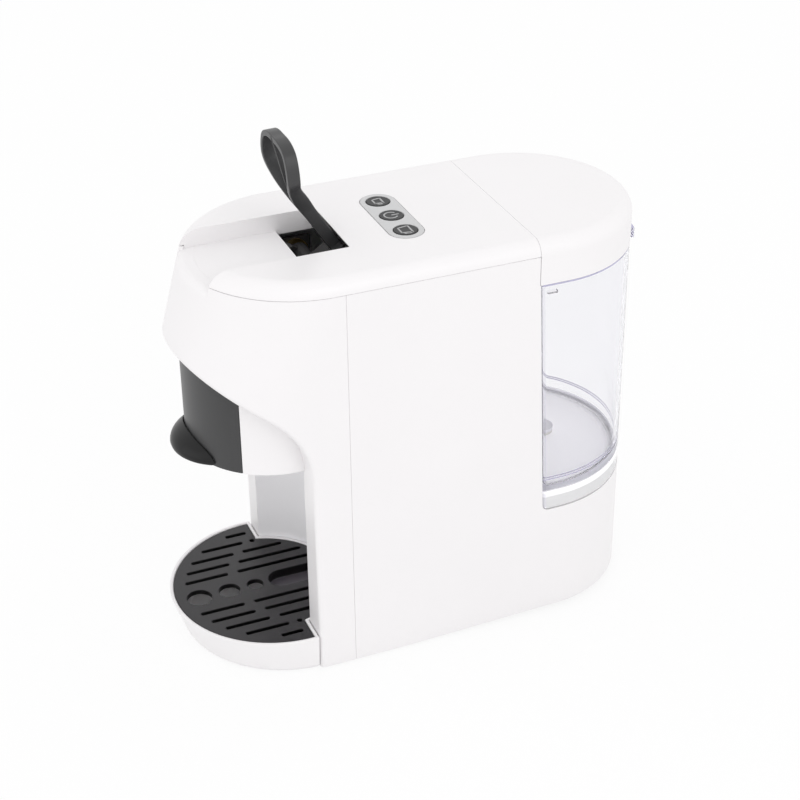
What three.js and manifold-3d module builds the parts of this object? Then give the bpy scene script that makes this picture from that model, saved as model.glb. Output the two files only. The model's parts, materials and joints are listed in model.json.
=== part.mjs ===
// Pod coffee machine: a slim counter-top machine with a lever-driven brew head,
// a capsule drawer, a drip tray, a clear rear water tank and three top buttons.
// Millimetres, +Z up, -Y towards the person, origin on the counter at the
// centre of the machine's footprint. Every sub-part is one closed solid.
import * as THREE from 'three';
import { mergeVertices } from 'three/addons/utils/BufferGeometryUtils.js';
import Module from 'manifold-3d';

const wasm = await Module();
wasm.setup();

// ---------- driving dimensions ----------
const GAP = 0.3;                    // clearance kept between neighbouring pieces
const WALL = 2.4;                   // casing wall
const SKIN = 2.2;                   // wall of the covers and the tank
const HALF_W = 60;                  // half the machine's width, and its end radius
const TOP_Z = 231.4;                // top of the covers
const CASING_TOP = 223.5;           // casings end here, the top cover sits on them
const CASING_FOOT = 1.2;            // lower edge of the casings
const EDGE_R = 8;                   // rounding of the top edges
const FRONT_Y = -52.5;              // centre of the head's front arc at the top
const FRONT_LEAN = 0.273;           // the head's front leans out this much per mm down
const REAR_Y = 70.2;                // centre of the rear arc
const SEAM_Y = -50.4;               // joint between the front and the rear casing
const LID_Y = 54.4;                 // joint between the top cover and the tank lid

// underside of the head, seen from the side: a slope, an arc and a vertical front
const CHEEK_Y = -70.4;              // front face of the two cheeks beside the cup space
const UNDER_R = 50;                 // radius of the underside's arc
const UNDER_Z = 118.3;              // height of the arc's centre
const UNDER_TURN = 56.5 * Math.PI / 180;
const UNDER_SLOPE = 0.66;           // fall of the straight part, per mm backwards

// lower head and capsule drawer
const BREW_Y = -74.2;               // brewing axis, also the drip tray's centre
const NECK_R = 46;
const NECK_Y = -72.5;
const NECK_Z = 120;
const DRAWER_HALF = 36;             // half width of the drawer's front
const CUP_R = 24;
const CUP_RIM_Z = 158;
const TAB_R = 27.6;
const TAB_Y = -100;

// concave column behind the cup
const COLUMN_R = 45.5;
const COLUMN_Y = -84.2;
const COLUMN_T = 2;

// drip tray and its grid
const TRAY_R = 60;
const TRAY_Z = 22.3;
const TRAY_DRAFT = 0.26;            // the tray's front leans out this much per mm up
const TRAY_WALL = 1.8;
const TRAY_FLOOR = 4.4;
const GRID_Z = 21.8;
const GRID_T = 3;
const PAN_Z = 14.6;                 // underside of the grid's finger pan

// lever
const LEVER_PIVOT = new THREE.Vector2(-46.2, 209);
const STEM_LEAN = 32.5 * Math.PI / 180;   // lean of the stem, forwards
const LOOP_LEAN = 2 * Math.PI / 180;      // lean of the finger loop
const STEM_Y = -40.3;               // where the stem passes the top of the cover
const STEM_ROOT = -19.5;            // the stem's lower end, measured along the stem
const LOOP_TOP = 60;                // the loop's end, measured along the stem
const BEND_FROM = 27;
const BEND_TO = 49;
const STRAP_T = 3.1;                // thickness of one strand
const STRAP_B = 6.2;                // breadth of the strap
const NECK_GROWTH = 0.18;           // how much broader the strap is under its loop
const CRANK_R = 10;
const CRANK_ANGLE = 30 * Math.PI / 180;
const SLOT_HALF = 25.5;
const SLOT_FRONT = -57;
const SLOT_REAR = -35.1;
const CHANNEL_Z = 221.9;

// buttons
const BUTTON_Y = -2.2;
const BUTTON_PITCH = 18.9;
const BUTTON_R = 6.2;
const PAD_R = 9.5;
const PAD_HALF = 19;                // from the pad's middle to the centre of its end

// water tank
const TANK_Z = 69.2;
const TANK_RIM = 207.1;
const TANK_FLOOR = 80;
const TANK_R = 59.7;
const TANK_LEAN = 0.038;            // the tank's front wall leans back this much per mm down
const TAB_REACH = 64;               // radius of the finger tab behind the rim
const VALVE_Y = 88;
const SHELF_Z = 68.8;
const CORD_Z = 20;                  // height of the mains cord's gland

const FINISH = {
  white: { color: 0xf2f0f1, roughness: 0.35, metalness: 0 },
  shade: { color: 0xd6d6d8, roughness: 0.45, metalness: 0 },
  black: { color: 0x353435, roughness: 0.5, metalness: 0 },
  graphite: { color: 0x4a484b, roughness: 0.55, metalness: 0 },
  silver: { color: 0xc8c8c8, roughness: 0.4, metalness: 0.2 },
  clear: { color: 0xeeeef4, roughness: 0.08, metalness: 0, transparent: true, opacity: 0.35 },
  rubber: { color: 0x2a2a2a, roughness: 0.9, metalness: 0 },
  silicone: { color: 0xd9d6cf, roughness: 0.7, metalness: 0 },
  steel: { color: 0xb4b6b8, roughness: 0.3, metalness: 1 },
  brass: { color: 0xb59a5a, roughness: 0.35, metalness: 1 },
  alloy: { color: 0xa9abad, roughness: 0.5, metalness: 1 },
  copper: { color: 0x8d5a3a, roughness: 0.45, metalness: 1 },
  board: { color: 0x1f5a38, roughness: 0.6, metalness: 0 },
};

// ---------- solids from three.js geometries ----------
function solid(geometry) {
  const bare = geometry.clone();
  bare.deleteAttribute('normal');
  bare.deleteAttribute('uv');
  const merged = mergeVertices(bare, 1e-4);
  return new wasm.Manifold(new wasm.Mesh({
    numProp: 3,
    vertProperties: new Float32Array(merged.attributes.position.array),
    triVerts: new Uint32Array(merged.index.array),
  }));
}

function geometryOf(body) {
  const mesh = body.getMesh();
  const geometry = new THREE.BufferGeometry();
  geometry.setAttribute('position', new THREE.BufferAttribute(new Float32Array(mesh.vertProperties), 3));
  geometry.setIndex(new THREE.BufferAttribute(new Uint32Array(mesh.triVerts), 1));
  geometry.computeVertexNormals();
  return geometry;
}

const join = (first, ...rest) => rest.reduce((sum, body) => sum.add(body), first);
const cut = (first, ...rest) => rest.reduce((left, body) => left.subtract(body), first);

function box(x0, x1, y0, y1, z0, z1) {
  const geometry = new THREE.BoxGeometry(x1 - x0, y1 - y0, z1 - z0);
  geometry.translate((x0 + x1) / 2, (y0 + y1) / 2, (z0 + z1) / 2);
  return solid(geometry);
}

// an upright prism of a plan outline, with an optional move of every vertex
function prism(shape, z0, z1, { segments = 10, move = null, bevel = 0 } = {}) {
  const geometry = new THREE.ExtrudeGeometry(shape, {
    depth: z1 - z0 - 2 * bevel,
    curveSegments: segments,
    bevelEnabled: bevel > 0,
    bevelSize: bevel,
    bevelThickness: bevel,
    bevelOffset: -bevel,
    bevelSegments: 3,
  });
  geometry.translate(0, 0, z0 + bevel);
  if (move) moveVertices(geometry, move);
  return solid(geometry);
}

function moveVertices(geometry, move) {
  const position = geometry.attributes.position;
  const vertex = new THREE.Vector3();
  for (let i = 0; i < position.count; i += 1) {
    vertex.fromBufferAttribute(position, i);
    move(vertex);
    position.setXYZ(i, vertex.x, vertex.y, vertex.z);
  }
}

// a side outline, drawn as (y, z), pulled out along X
function sidePrism(shape, x0, x1, segments = 16) {
  const geometry = new THREE.ExtrudeGeometry(shape, {
    depth: x1 - x0, curveSegments: segments, bevelEnabled: false,
  });
  geometry.applyMatrix4(new THREE.Matrix4().makeBasis(
    new THREE.Vector3(0, 1, 0), new THREE.Vector3(0, 0, 1), new THREE.Vector3(1, 0, 0)));
  geometry.translate(x0, 0, 0);
  return solid(geometry);
}

// a round bar between two points
function rod(from, to, radius, sides = 16, endRadius = radius) {
  const start = new THREE.Vector3(...from);
  const along = new THREE.Vector3(...to).sub(start);
  const geometry = new THREE.CylinderGeometry(endRadius, radius, along.length(), sides);
  geometry.translate(0, along.length() / 2, 0);
  const up = new THREE.Vector3(0, 1, 0);
  geometry.applyQuaternion(new THREE.Quaternion().setFromUnitVectors(up, along.clone().normalize()));
  geometry.translate(start.x, start.y, start.z);
  return solid(geometry);
}

const pipe = (from, to, outer, inner, sides = 16) => {
  const start = new THREE.Vector3(...from);
  const end = new THREE.Vector3(...to);
  const past = end.clone().sub(start).normalize();
  return cut(rod(from, to, outer, sides),
    rod(start.clone().sub(past).toArray(), end.clone().add(past).toArray(), inner, sides));
};

// a solid of revolution about an upright axis; the profile is a list of (r, z)
function turned(profile, x, y, sides = 24) {
  const points = profile.map(([r, z]) => new THREE.Vector2(r, z));
  const geometry = new THREE.LatheGeometry(points, sides);
  geometry.rotateX(Math.PI / 2);
  geometry.translate(x, y, 0);
  return solid(geometry);
}

// a hose along a smooth curve
function hose(points, radius) {
  const curve = new THREE.CatmullRomCurve3(points.map((p) => new THREE.Vector3(...p)), false, 'centripetal');
  const section = new THREE.Shape();
  section.absarc(0, 0, radius, 0, 2 * Math.PI);
  return solid(new THREE.ExtrudeGeometry(section, {
    steps: 4 * (points.length - 1), curveSegments: 4, extrudePath: curve, bevelEnabled: false,
  }));
}

// ---------- outlines ----------
function capsulePlan(radius, yFront, yRear) {
  const shape = new THREE.Shape();
  shape.absarc(0, yRear, radius, 0, Math.PI);
  shape.absarc(0, yFront, radius, Math.PI, 2 * Math.PI);
  return shape;
}

function roundFrontPlan(radius, yFront, yBack) {
  const shape = new THREE.Shape();
  shape.absarc(0, yFront, radius, Math.PI, 2 * Math.PI);
  shape.lineTo(radius, yBack);
  shape.lineTo(-radius, yBack);
  return shape;
}

function roundRearPlan(radius, yFlat, yRear) {
  const shape = new THREE.Shape();
  shape.absarc(0, yRear, radius, 0, Math.PI);
  shape.lineTo(-radius, yFlat);
  shape.lineTo(radius, yFlat);
  return shape;
}

function slotPlan(x, y0, y1, width) {
  const shape = new THREE.Shape();
  shape.absarc(x, y1 - width / 2, width / 2, 0, Math.PI);
  shape.absarc(x, y0 + width / 2, width / 2, Math.PI, 2 * Math.PI);
  return shape;
}

function discPlan(radius, x, y) {
  const shape = new THREE.Shape();
  shape.absarc(x, y, radius, 0, 2 * Math.PI);
  return shape;
}

// what lies under the head and in front of the cheeks, grown upwards by `grow`
function underHead(grow) {
  const radius = UNDER_R + grow;
  const centreY = CHEEK_Y - UNDER_R;
  const startY = centreY + radius * Math.cos(UNDER_TURN);
  const startZ = UNDER_Z + radius * Math.sin(UNDER_TURN);
  const frontY = -220;
  const shape = new THREE.Shape();
  shape.moveTo(frontY, -10);
  shape.lineTo(centreY + radius, -10);
  shape.lineTo(centreY + radius, UNDER_Z);
  shape.absarc(centreY, UNDER_Z, radius, 0, UNDER_TURN);
  shape.lineTo(frontY, startZ + UNDER_SLOPE * (startY - frontY));
  return shape;
}

const leanFront = (v) => {
  if (v.y <= FRONT_Y + 0.01) v.y -= FRONT_LEAN * (TOP_Z - v.z);
};

const group = new THREE.Group();
function node(name, body, finish) {
  const mesh = new THREE.Mesh(geometryOf(body), new THREE.MeshStandardMaterial(FINISH[finish]));
  mesh.name = name;
  group.add(mesh);
}

// ---------- casings ----------
function frontCasing() {
  const head = cut(
    prism(capsulePlan(HALF_W, FRONT_Y, 0), CASING_FOOT, CASING_TOP, { segments: 10, move: leanFront }),
    sidePrism(underHead(0), -70, 70));
  const neck = prism(roundFrontPlan(NECK_R, NECK_Y, -60), NECK_Z, 176, { segments: 10 });
  const hollow = cut(
    prism(capsulePlan(HALF_W - WALL, FRONT_Y, 0), -5, TOP_Z + 5, { segments: 10, move: leanFront }),
    sidePrism(underHead(WALL), -70, 70));
  const neckHollow = prism(roundFrontPlan(NECK_R - WALL, NECK_Y, -30), NECK_Z + WALL, 190, { segments: 10 });
  const doorway = box(-DRAWER_HALF - GAP, DRAWER_HALF + GAP, -140, -90, NECK_Z - 2, 200)
    .intersect(sidePrism(underHead(0), -70, 70));
  const spoutWay = box(-9, 9, -140, -62, NECK_Z - 2, NECK_Z + WALL + 1);
  const behindSeam = box(-80, 80, SEAM_Y - GAP / 2, 100, -10, 260);
  const columnWay = prism(discPlan(COLUMN_R + COLUMN_T + GAP, 0, COLUMN_Y), -10, NECK_Z - GAP,
    { segments: 20 });
  const channelWay = box(-SLOT_HALF - 2.3, SLOT_HALF + 2.3, -150, -40, CHANNEL_Z - 2.3, 260);
  return cut(join(head, neck), hollow, neckHollow, doorway, spoutWay, behindSeam, columnWay, channelWay);
}

function bayOutline(grow) {
  // the tank bay, as (y, z): everything behind this is left free above the shelf
  const rimY = LID_Y - 0.2 - grow;
  const shape = new THREE.Shape();
  shape.moveTo(rimY + TANK_LEAN * (TANK_RIM - SHELF_Z), SHELF_Z - grow);
  shape.lineTo(160, SHELF_Z - grow);
  shape.lineTo(160, 260);
  shape.lineTo(rimY, 260);
  shape.lineTo(rimY, TANK_RIM);
  return shape;
}

function rearCasing() {
  const outer = cut(
    prism(capsulePlan(HALF_W, -100, REAR_Y), CASING_FOOT, CASING_TOP, { segments: 10 }),
    sidePrism(bayOutline(0), -70, 70));
  const inner = cut(
    prism(capsulePlan(HALF_W - WALL, -100, REAR_Y), -5, TOP_Z, { segments: 10 }),
    sidePrism(bayOutline(WALL), -70, 70));
  const aheadOfSeam = box(-80, 80, -200, SEAM_Y + GAP / 2, -10, 260);
  const outletHole = rod([0, VALVE_Y, SHELF_Z - 6], [0, VALVE_Y, SHELF_Z + 6], 11, 16);
  const inletHole = rod([0, 100, CORD_Z], [0, 140, CORD_Z], 6.5, 20);
  return cut(outer, inner, aheadOfSeam, outletHole, inletHole);
}

function columnPanel() {
  const height = NECK_Z - 2 * GAP;
  const shell = cut(
    prism(discPlan(COLUMN_R + COLUMN_T, 0, COLUMN_Y), CASING_FOOT, height, { segments: 20 }),
    prism(discPlan(COLUMN_R, 0, COLUMN_Y), -5, 200, { segments: 20 }));
  const tongueWay = box(-15.5, 15.5, -60, -20, -5, 6.2);
  return cut(shell, box(-70, 70, -200, CHEEK_Y, -5, 200), tongueWay);
}

function basePlate() {
  const plate = prism(capsulePlan(HALF_W - WALL - GAP, -100, REAR_Y), 2, 4.4, { segments: 10 });
  const columnWay = prism(discPlan(COLUMN_R + COLUMN_T + GAP, 0, COLUMN_Y), -5, 20, { segments: 20 });
  const cheekLimit = box(-80, 80, -200, CHEEK_Y + WALL + GAP, -5, 20);
  const tongue = box(-14, 14, -88, -34, 2, 4.4);
  const footBoss = FEET.map(([x, y]) => rod([x, y, 2.2], [x, y, 7.4], 7.5, 16));
  const footHoles = FEET.map(([x, y]) => rod([x, y, 0], [x, y, 5.4], 6, 16));
  const screwHoles = BASE_SCREWS.map(([x, y]) => rod([x, y, 0], [x, y, 6], 2.1, 16));
  return cut(join(cut(plate, columnWay, cheekLimit), tongue, ...footBoss), ...footHoles, ...screwHoles);
}

const FEET = [[-46, -38], [46, -38], [-38, 96], [38, 96]];
const BASE_SCREWS = [[-44, 18], [44, 18], [-44, 66], [44, 66]];

const foot = (x, y) => rod([x, y, 0], [x, y, 5], 5.6, 16);
const baseScrew = (x, y) => join(
  rod([x, y, 0.6], [x, y, 1.6], 3.2, 16),
  rod([x, y, 1.5], [x, y, 9], 1.6, 12));

// ---------- covers ----------
function topCover() {
  const plan = { segments: 10, move: leanFront };
  const rearPart = box(-80, 80, LID_Y - GAP / 2, 200, 0, 300);
  const outer = cut(
    prism(capsulePlan(HALF_W, FRONT_Y, REAR_Y), 180, TOP_Z, { ...plan, bevel: EDGE_R }),
    box(-80, 80, -200, 200, 0, CASING_TOP + GAP), rearPart);
  const hollow = cut(
    prism(capsulePlan(HALF_W - SKIN, FRONT_Y, REAR_Y), 180, TOP_Z - SKIN, { ...plan, bevel: EDGE_R - SKIN }),
    box(-80, 80, LID_Y - GAP / 2 - SKIN, 200, 0, 300));
  const inFront = prism(capsulePlan(HALF_W - 0.05, FRONT_Y, REAR_Y), 180, 260, plan);
  const trough = box(-SLOT_HALF - 2, SLOT_HALF + 2, -140, SLOT_REAR + 2, CHANNEL_Z - 2, TOP_Z - 0.5)
    .intersect(inFront);
  const channel = box(-SLOT_HALF, SLOT_HALF, -140, SLOT_REAR, CHANNEL_Z, 260);
  const slot = box(-SLOT_HALF, SLOT_HALF, SLOT_FRONT, SLOT_REAR, 200, 260);
  const undercut = new THREE.Shape();
  undercut.moveTo(SLOT_REAR - 1, TOP_Z - 0.3);
  undercut.lineTo(SLOT_REAR, TOP_Z - 0.3);
  undercut.lineTo(SLOT_REAR + 4.1, TOP_Z - 4.4);
  undercut.lineTo(SLOT_REAR + 4.1, 200);
  undercut.lineTo(SLOT_REAR - 1, 200);
  const behindStem = sidePrism(undercut, -SLOT_HALF, SLOT_HALF);
  const padSeat = prism(sidewaysPlan(PAD_R + GAP, PAD_HALF), TOP_Z - 1.2, 260);
  const buttonWays = [-1, 0, 1].map((i) => rod(
    [i * BUTTON_PITCH, BUTTON_Y, 220], [i * BUTTON_PITCH, BUTTON_Y, 240], BUTTON_R + 0.5, 20));
  return cut(join(cut(outer, hollow), trough), channel, slot, behindStem, padSeat, ...buttonWays);
}

function sidewaysPlan(radius, half) {
  const shape = new THREE.Shape();
  shape.absarc(half, BUTTON_Y, radius, -Math.PI / 2, Math.PI / 2);
  shape.absarc(-half, BUTTON_Y, radius, Math.PI / 2, 1.5 * Math.PI);
  return shape;
}

function tankLid() {
  const ahead = box(-80, 80, -200, LID_Y + GAP / 2, 0, 300);
  const outer = cut(
    prism(capsulePlan(HALF_W, -20, REAR_Y), 180, TOP_Z, { segments: 10, bevel: EDGE_R }),
    ahead, box(-80, 80, -200, 200, 0, TANK_RIM + GAP));
  const hollow = cut(
    prism(capsulePlan(HALF_W - SKIN, -20, REAR_Y), 180, TOP_Z - SKIN, { segments: 10, bevel: EDGE_R - SKIN }),
    box(-80, 80, -200, LID_Y + GAP / 2 + SKIN, 0, 300));
  return cut(outer, hollow);
}

// ---------- buttons ----------
function buttonPad() {
  const plate = prism(sidewaysPlan(PAD_R, PAD_HALF), TOP_Z - 0.9, TOP_Z + 0.3);
  return cut(plate, ...[-1, 0, 1].map((i) => rod(
    [i * BUTTON_PITCH, BUTTON_Y, 220], [i * BUTTON_PITCH, BUTTON_Y, 240], BUTTON_R + 0.4, 20)));
}

const button = (i) => turned([
  [0, TOP_Z - 5.2], [2.4, TOP_Z - 5.2], [2.4, TOP_Z - 3.6], [BUTTON_R, TOP_Z - 3.6],
  [BUTTON_R, TOP_Z + 0.5], [BUTTON_R - 0.5, TOP_Z + 0.9], [0, TOP_Z + 0.9],
], i * BUTTON_PITCH, BUTTON_Y, 20);

const buttonBoard = () => join(
  box(-32, 32, BUTTON_Y - 10, BUTTON_Y + 10, TOP_Z - 11, TOP_Z - 9.4),
  ...[-1, 0, 1].map((i) => box(
    i * BUTTON_PITCH - 3, i * BUTTON_PITCH + 3, BUTTON_Y - 3, BUTTON_Y + 3, TOP_Z - 9.5, TOP_Z - 7.4)),
  box(22, 30, BUTTON_Y - 9, BUTTON_Y + 1, TOP_Z - 15, TOP_Z - 10.9));

// ---------- drip tray ----------
const trayLean = (v) => {
  v.y += TRAY_DRAFT * (TRAY_Z - v.z);
};

function trayPlan(inset, z0, z1) {
  const cheekLimit = box(-80, 80, CHEEK_Y - 0.5 - inset, 0, z0 - 5, z1 + 5);
  const front = prism(discPlan(TRAY_R - inset, 0, BREW_Y), z0, z1, { segments: 20, move: trayLean });
  const back = prism(discPlan(COLUMN_R - GAP - inset, 0, COLUMN_Y), z0, z1, { segments: 20 });
  return join(cut(front, cheekLimit), cut(back, box(-80, 80, -200, -80, -10, 60)));
}

function dripTray() {
  const tongueCover = box(-17.5, 17.5, -92, -30, 0, 8.6);
  const tongueWay = box(-15, 15, -90, 0, -5, 6);
  const well = cut(trayPlan(TRAY_WALL + 1.4, TRAY_FLOOR, 40), tongueCover);
  const seat = trayPlan(TRAY_WALL, GRID_Z - GRID_T - GAP, 40);
  return cut(trayPlan(0, 0, TRAY_Z), well, seat, tongueWay);
}

function dripGrid() {
  const plate = join(
    trayPlan(TRAY_WALL + GAP, GRID_Z - GRID_T, GRID_Z),
    prism(slotPlan(0, -81, -43.5, 19), PAN_Z, GRID_Z - 1, { segments: 8 }));
  const through = (shape) => prism(shape, 0, 40, { segments: 1 });
  const holes = [[-119.5, 7], [-102.1, 6], [-87.1, 4.6]].map(
    ([y, r]) => prism(discPlan(r, 0, y), 0, 40, { segments: 8 }));
  const fingerPan = prism(slotPlan(0, -79, -45.5, 15), PAN_Z + 1.6, 40, { segments: 8 });
  const frontSlots = [[49.5, -88.8, -76.4], [40.8, -105.9, -81.2], [32.2, -114.5, -89.4],
    [23.6, -119.8, -94.7], [15, -123.2, -98.2]];
  const rearSlots = [[32.2, -84, -60.5], [23.6, -89.2, -52], [15, -92.6, -48.5]];
  const slots = [...frontSlots, ...rearSlots].flatMap(([x, y0, y1]) => [
    through(slotPlan(x, y0, y1, 2.6)), through(slotPlan(-x, y0, y1, 2.6))]);
  const drains = [-40.8, 40.8].map((x) => through(discPlan(1.5, x, -75.4)));
  return cut(plate, ...holes, fingerPan, ...slots, ...drains);
}

// ---------- capsule drawer ----------
function drawerFront() {
  const band = cut(
    prism(roundFrontPlan(NECK_R, NECK_Y, -60), NECK_Z + 0.2, 176, { segments: 10 }),
    prism(roundFrontPlan(NECK_R - 3, NECK_Y, -30), 0, 300, { segments: 10 }));
  const front = band.intersect(box(-DRAWER_HALF, DRAWER_HALF, -140, -90, 0, 300))
    .intersect(sidePrism(underHead(-1), -70, 70));
  const dome = new THREE.SphereGeometry(1, 24, 10);
  dome.rotateX(Math.PI / 2);
  dome.scale(TAB_R, TAB_R, 11.5);
  dome.translate(0, TAB_Y, NECK_Z + 1.2);
  const lip = cut(
    solid(dome).intersect(box(-60, 60, -160, -60, NECK_Z + 0.2, 160)),
    prism(roundFrontPlan(NECK_R - 1.5, NECK_Y, -30), 0, 300, { segments: 10 }));
  return join(front, lip);
}

function capsuleDrawer() {
  const floorZ = NECK_Z + WALL + 0.8;
  const plate = box(-30, 30, -104, -50, floorZ, floorZ + 2.6);
  const cup = rod([0, BREW_Y, floorZ + 1], [0, BREW_Y, CUP_RIM_Z - 1], CUP_R, 24);
  const flange = rod([0, BREW_Y, CUP_RIM_Z - 2], [0, BREW_Y, CUP_RIM_Z], CUP_R + 3.5, 24);
  const spout = rod([0, BREW_Y, 111], [0, BREW_Y, floorZ + 1], 5, 20);
  const cavity = rod([0, BREW_Y, 128], [0, BREW_Y, 170], CUP_R - 2.4, 24);
  const bore = rod([0, BREW_Y, 100], [0, BREW_Y, 140], 2.2, 16);
  const insideNeck = prism(roundFrontPlan(NECK_R - 3 - GAP, NECK_Y, -20), 100, 200, { segments: 10 });
  return cut(join(plate, cup, flange).intersect(insideNeck).add(spout), cavity, bore);
}

// ---------- lever and brew mechanism ----------
const STEM_DIR = new THREE.Vector2(-Math.sin(STEM_LEAN), Math.cos(STEM_LEAN));
const STEM_NORMAL = new THREE.Vector2(Math.cos(STEM_LEAN), Math.sin(STEM_LEAN));

// centre line of the lever: a straight stem, a smooth bend, then a straight loop
function leverPoint(t) {
  const step = 0.5;
  const point = new THREE.Vector2(STEM_Y, TOP_Z);
  if (t <= BEND_FROM) return { point: point.addScaledVector(STEM_DIR, t), lean: STEM_LEAN };
  point.addScaledVector(STEM_DIR, BEND_FROM);
  let lean = STEM_LEAN;
  for (let s = BEND_FROM; s < t; s += step) {
    const part = Math.min(step, t - s);
    lean = STEM_LEAN + (LOOP_LEAN - STEM_LEAN) * THREE.MathUtils.smoothstep(s + part / 2, BEND_FROM, BEND_TO);
    point.x -= Math.sin(lean) * part;
    point.y += Math.cos(lean) * part;
  }
  return { point, lean };
}

// loop outline in the strap's own plane, as (x, t)
const LOOP_HALF = [[22, 4.2], [29, 9.5], [36.4, 18.3], [44.4, 21.2], [52.6, 18.8]];
function loopCurve(inset) {
  const tip = LOOP_TOP - inset;
  const side = LOOP_HALF.map(([t, x]) => new THREE.Vector2(x - inset, t));
  const curve = [new THREE.Vector2(12.5 - inset, tip - 1), new THREE.Vector2(0, tip)];
  return { side, curve };
}

function leverHandle() {
  const outline = new THREE.Shape();
  const outer = loopCurve(0);
  outline.moveTo(-STRAP_T, STEM_ROOT);
  outline.lineTo(STRAP_T, STEM_ROOT);
  for (let t = STEM_ROOT + 6; t < 18; t += 6) outline.lineTo(STRAP_T, t);
  outline.lineTo(STRAP_T, 18);
  outline.splineThru([...outer.side, ...outer.curve]);
  outline.splineThru([...outer.side, outer.curve[0]].reverse().map((p) => new THREE.Vector2(-p.x, p.y)));
  outline.lineTo(-STRAP_T, 18);
  for (let t = 18 - 6; t > STEM_ROOT; t -= 6) outline.lineTo(-STRAP_T, t);
  const inner = loopCurve(STRAP_T);
  const hole = new THREE.Path();
  const innerSide = inner.side.slice(1);
  hole.moveTo(0, 25.5);
  hole.splineThru([...innerSide, ...inner.curve]);
  hole.splineThru([...innerSide, inner.curve[0]].reverse().map((p) => new THREE.Vector2(-p.x, p.y)));
  outline.holes.push(hole);
  const geometry = new THREE.ExtrudeGeometry(outline, {
    depth: STRAP_B, curveSegments: 3, bevelEnabled: false,
  });
  moveVertices(geometry, (v) => {
    const { point, lean } = leverPoint(v.y);
    const near = THREE.MathUtils.smoothstep(15 - Math.abs(v.y - 23), 0, 15);
    const off = (v.z - STRAP_B / 2) * (1 + NECK_GROWTH * near);
    v.set(v.x, point.x - off * Math.cos(lean), point.y - off * Math.sin(lean));
  });
  const root = leverPoint(STEM_ROOT).point;
  const shoe = slab(root, STEM_DIR, STEM_NORMAL, 8, [-1, 9], [0.2 - STRAP_B / 2, STRAP_B / 2 - 0.2]);
  return join(solid(geometry), shoe);
}

// a block laid along the lever: x by half width, then ranges along and across the stem
function slab(origin, along, across, half, [a0, a1], [c0, c1]) {
  const shape = new THREE.Shape();
  const corner = (a, c) => origin.clone().addScaledVector(along, a).addScaledVector(across, c);
  shape.setFromPoints([corner(a0, c0), corner(a0, c1), corner(a1, c1), corner(a1, c0)]);
  return sidePrism(shape, -half, half);
}

function leverCrank() {
  const [y, z] = LEVER_PIVOT.toArray();
  const pin = [y - CRANK_R * Math.cos(CRANK_ANGLE), z + CRANK_R * Math.sin(CRANK_ANGLE)];
  const hub = rod([-22, y, z], [22, y, z], 6, 16);
  const arm = slab(LEVER_PIVOT, STEM_DIR, STEM_NORMAL, 8, [-4, 4], [2, 17 - STRAP_B / 2 - GAP]);
  const crankPin = rod([-19, ...pin], [19, ...pin], 2, 16);
  const webs = [-1, 1].map((side) => join(
    rod([side * 16, ...pin], [side * 19, ...pin], 4, 20),
    webPlate(pin, side)));
  return cut(join(hub, arm, crankPin, ...webs), rod([-30, y, z], [30, y, z], 3.25, 20));
}

function webPlate(pin, side) {
  const from = LEVER_PIVOT;
  const to = new THREE.Vector2(...pin);
  const along = to.clone().sub(from).normalize();
  const across = new THREE.Vector2(-along.y, along.x);
  const shape = new THREE.Shape();
  const corner = (a, c) => from.clone().addScaledVector(along, a).addScaledVector(across, c);
  shape.setFromPoints([corner(0, -4), corner(0, 4), corner(CRANK_R, 4), corner(CRANK_R, -4)]);
  return sidePrism(shape, side > 0 ? 16 : -19, side > 0 ? 19 : -16);
}

const leverAxle = () => rod([-31, ...LEVER_PIVOT.toArray()], [31, ...LEVER_PIVOT.toArray()], 3, 20);

const leverBush = (side) => {
  const [y, z] = LEVER_PIVOT.toArray();
  const x0 = side * 26.2;
  return join(
    pipe([x0, y, z], [side * 29.6, y, z], 4.7, 3.2),
    pipe([side * 24.6, y, z], [x0 + side * 0.1, y, z], 6.6, 3.2));
};

// a box on one side of the machine, given by its distances from the middle
const sideBox = (side, near, far, ...ranges) => box(
  Math.min(side * near, side * far), Math.max(side * near, side * far), ...ranges);

const GUIDE_X = 33.5;
const GUIDE_Y = -72;
const guideHole = (side, radius) => rod(
  [side * GUIDE_X, GUIDE_Y, 150], [side * GUIDE_X, GUIDE_Y, 220], radius, 12);

function brewFrame() {
  const [y, z] = LEVER_PIVOT.toArray();
  const plates = [-1, 1].map((side) => join(
    sideBox(side, 26.5, 29, -62, -38, 160, 216),
    sideBox(side, 28, 38, -78, -38, 160, 163),
    sideBox(side, 28, 38, -78, -38, 203, 206)));
  const tie = box(-29, 29, -40.5, -38, 160, 166);
  const bushHoles = rod([-40, y, z], [40, y, z], 5, 20);
  return cut(join(...plates, tie), bushHoles, guideHole(-1, 2.8), guideHole(1, 2.8));
}

const guideRod = (side) => rod([side * GUIDE_X, GUIDE_Y, 159], [side * GUIDE_X, GUIDE_Y, 208], 2.5, 12);

function brewCarriage() {
  const pinZ = LEVER_PIVOT.y + CRANK_R * Math.sin(CRANK_ANGLE);
  const beam = box(-38, 38, -80, -64.5, 184, 189);
  const boss = rod([0, BREW_Y, 178], [0, BREW_Y, 189], 14, 20);
  const lugs = [-1, 1].map((side) => sideBox(side, 11, 15, -68, -52.8, 184.5, pinZ + 4.6));
  const yoke = box(-20, 20, -59, -50, pinZ - 2.6, pinZ + 2.6);
  const inlet = rod([0, BREW_Y, 188], [0, BREW_Y, 194], 4, 12);
  const inletBore = rod([0, BREW_Y, 170], [0, BREW_Y, 200], 2, 12);
  return cut(join(beam, boss, ...lugs, inlet), yoke, guideHole(-1, 2.9), guideHole(1, 2.9), inletBore);
}

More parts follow.
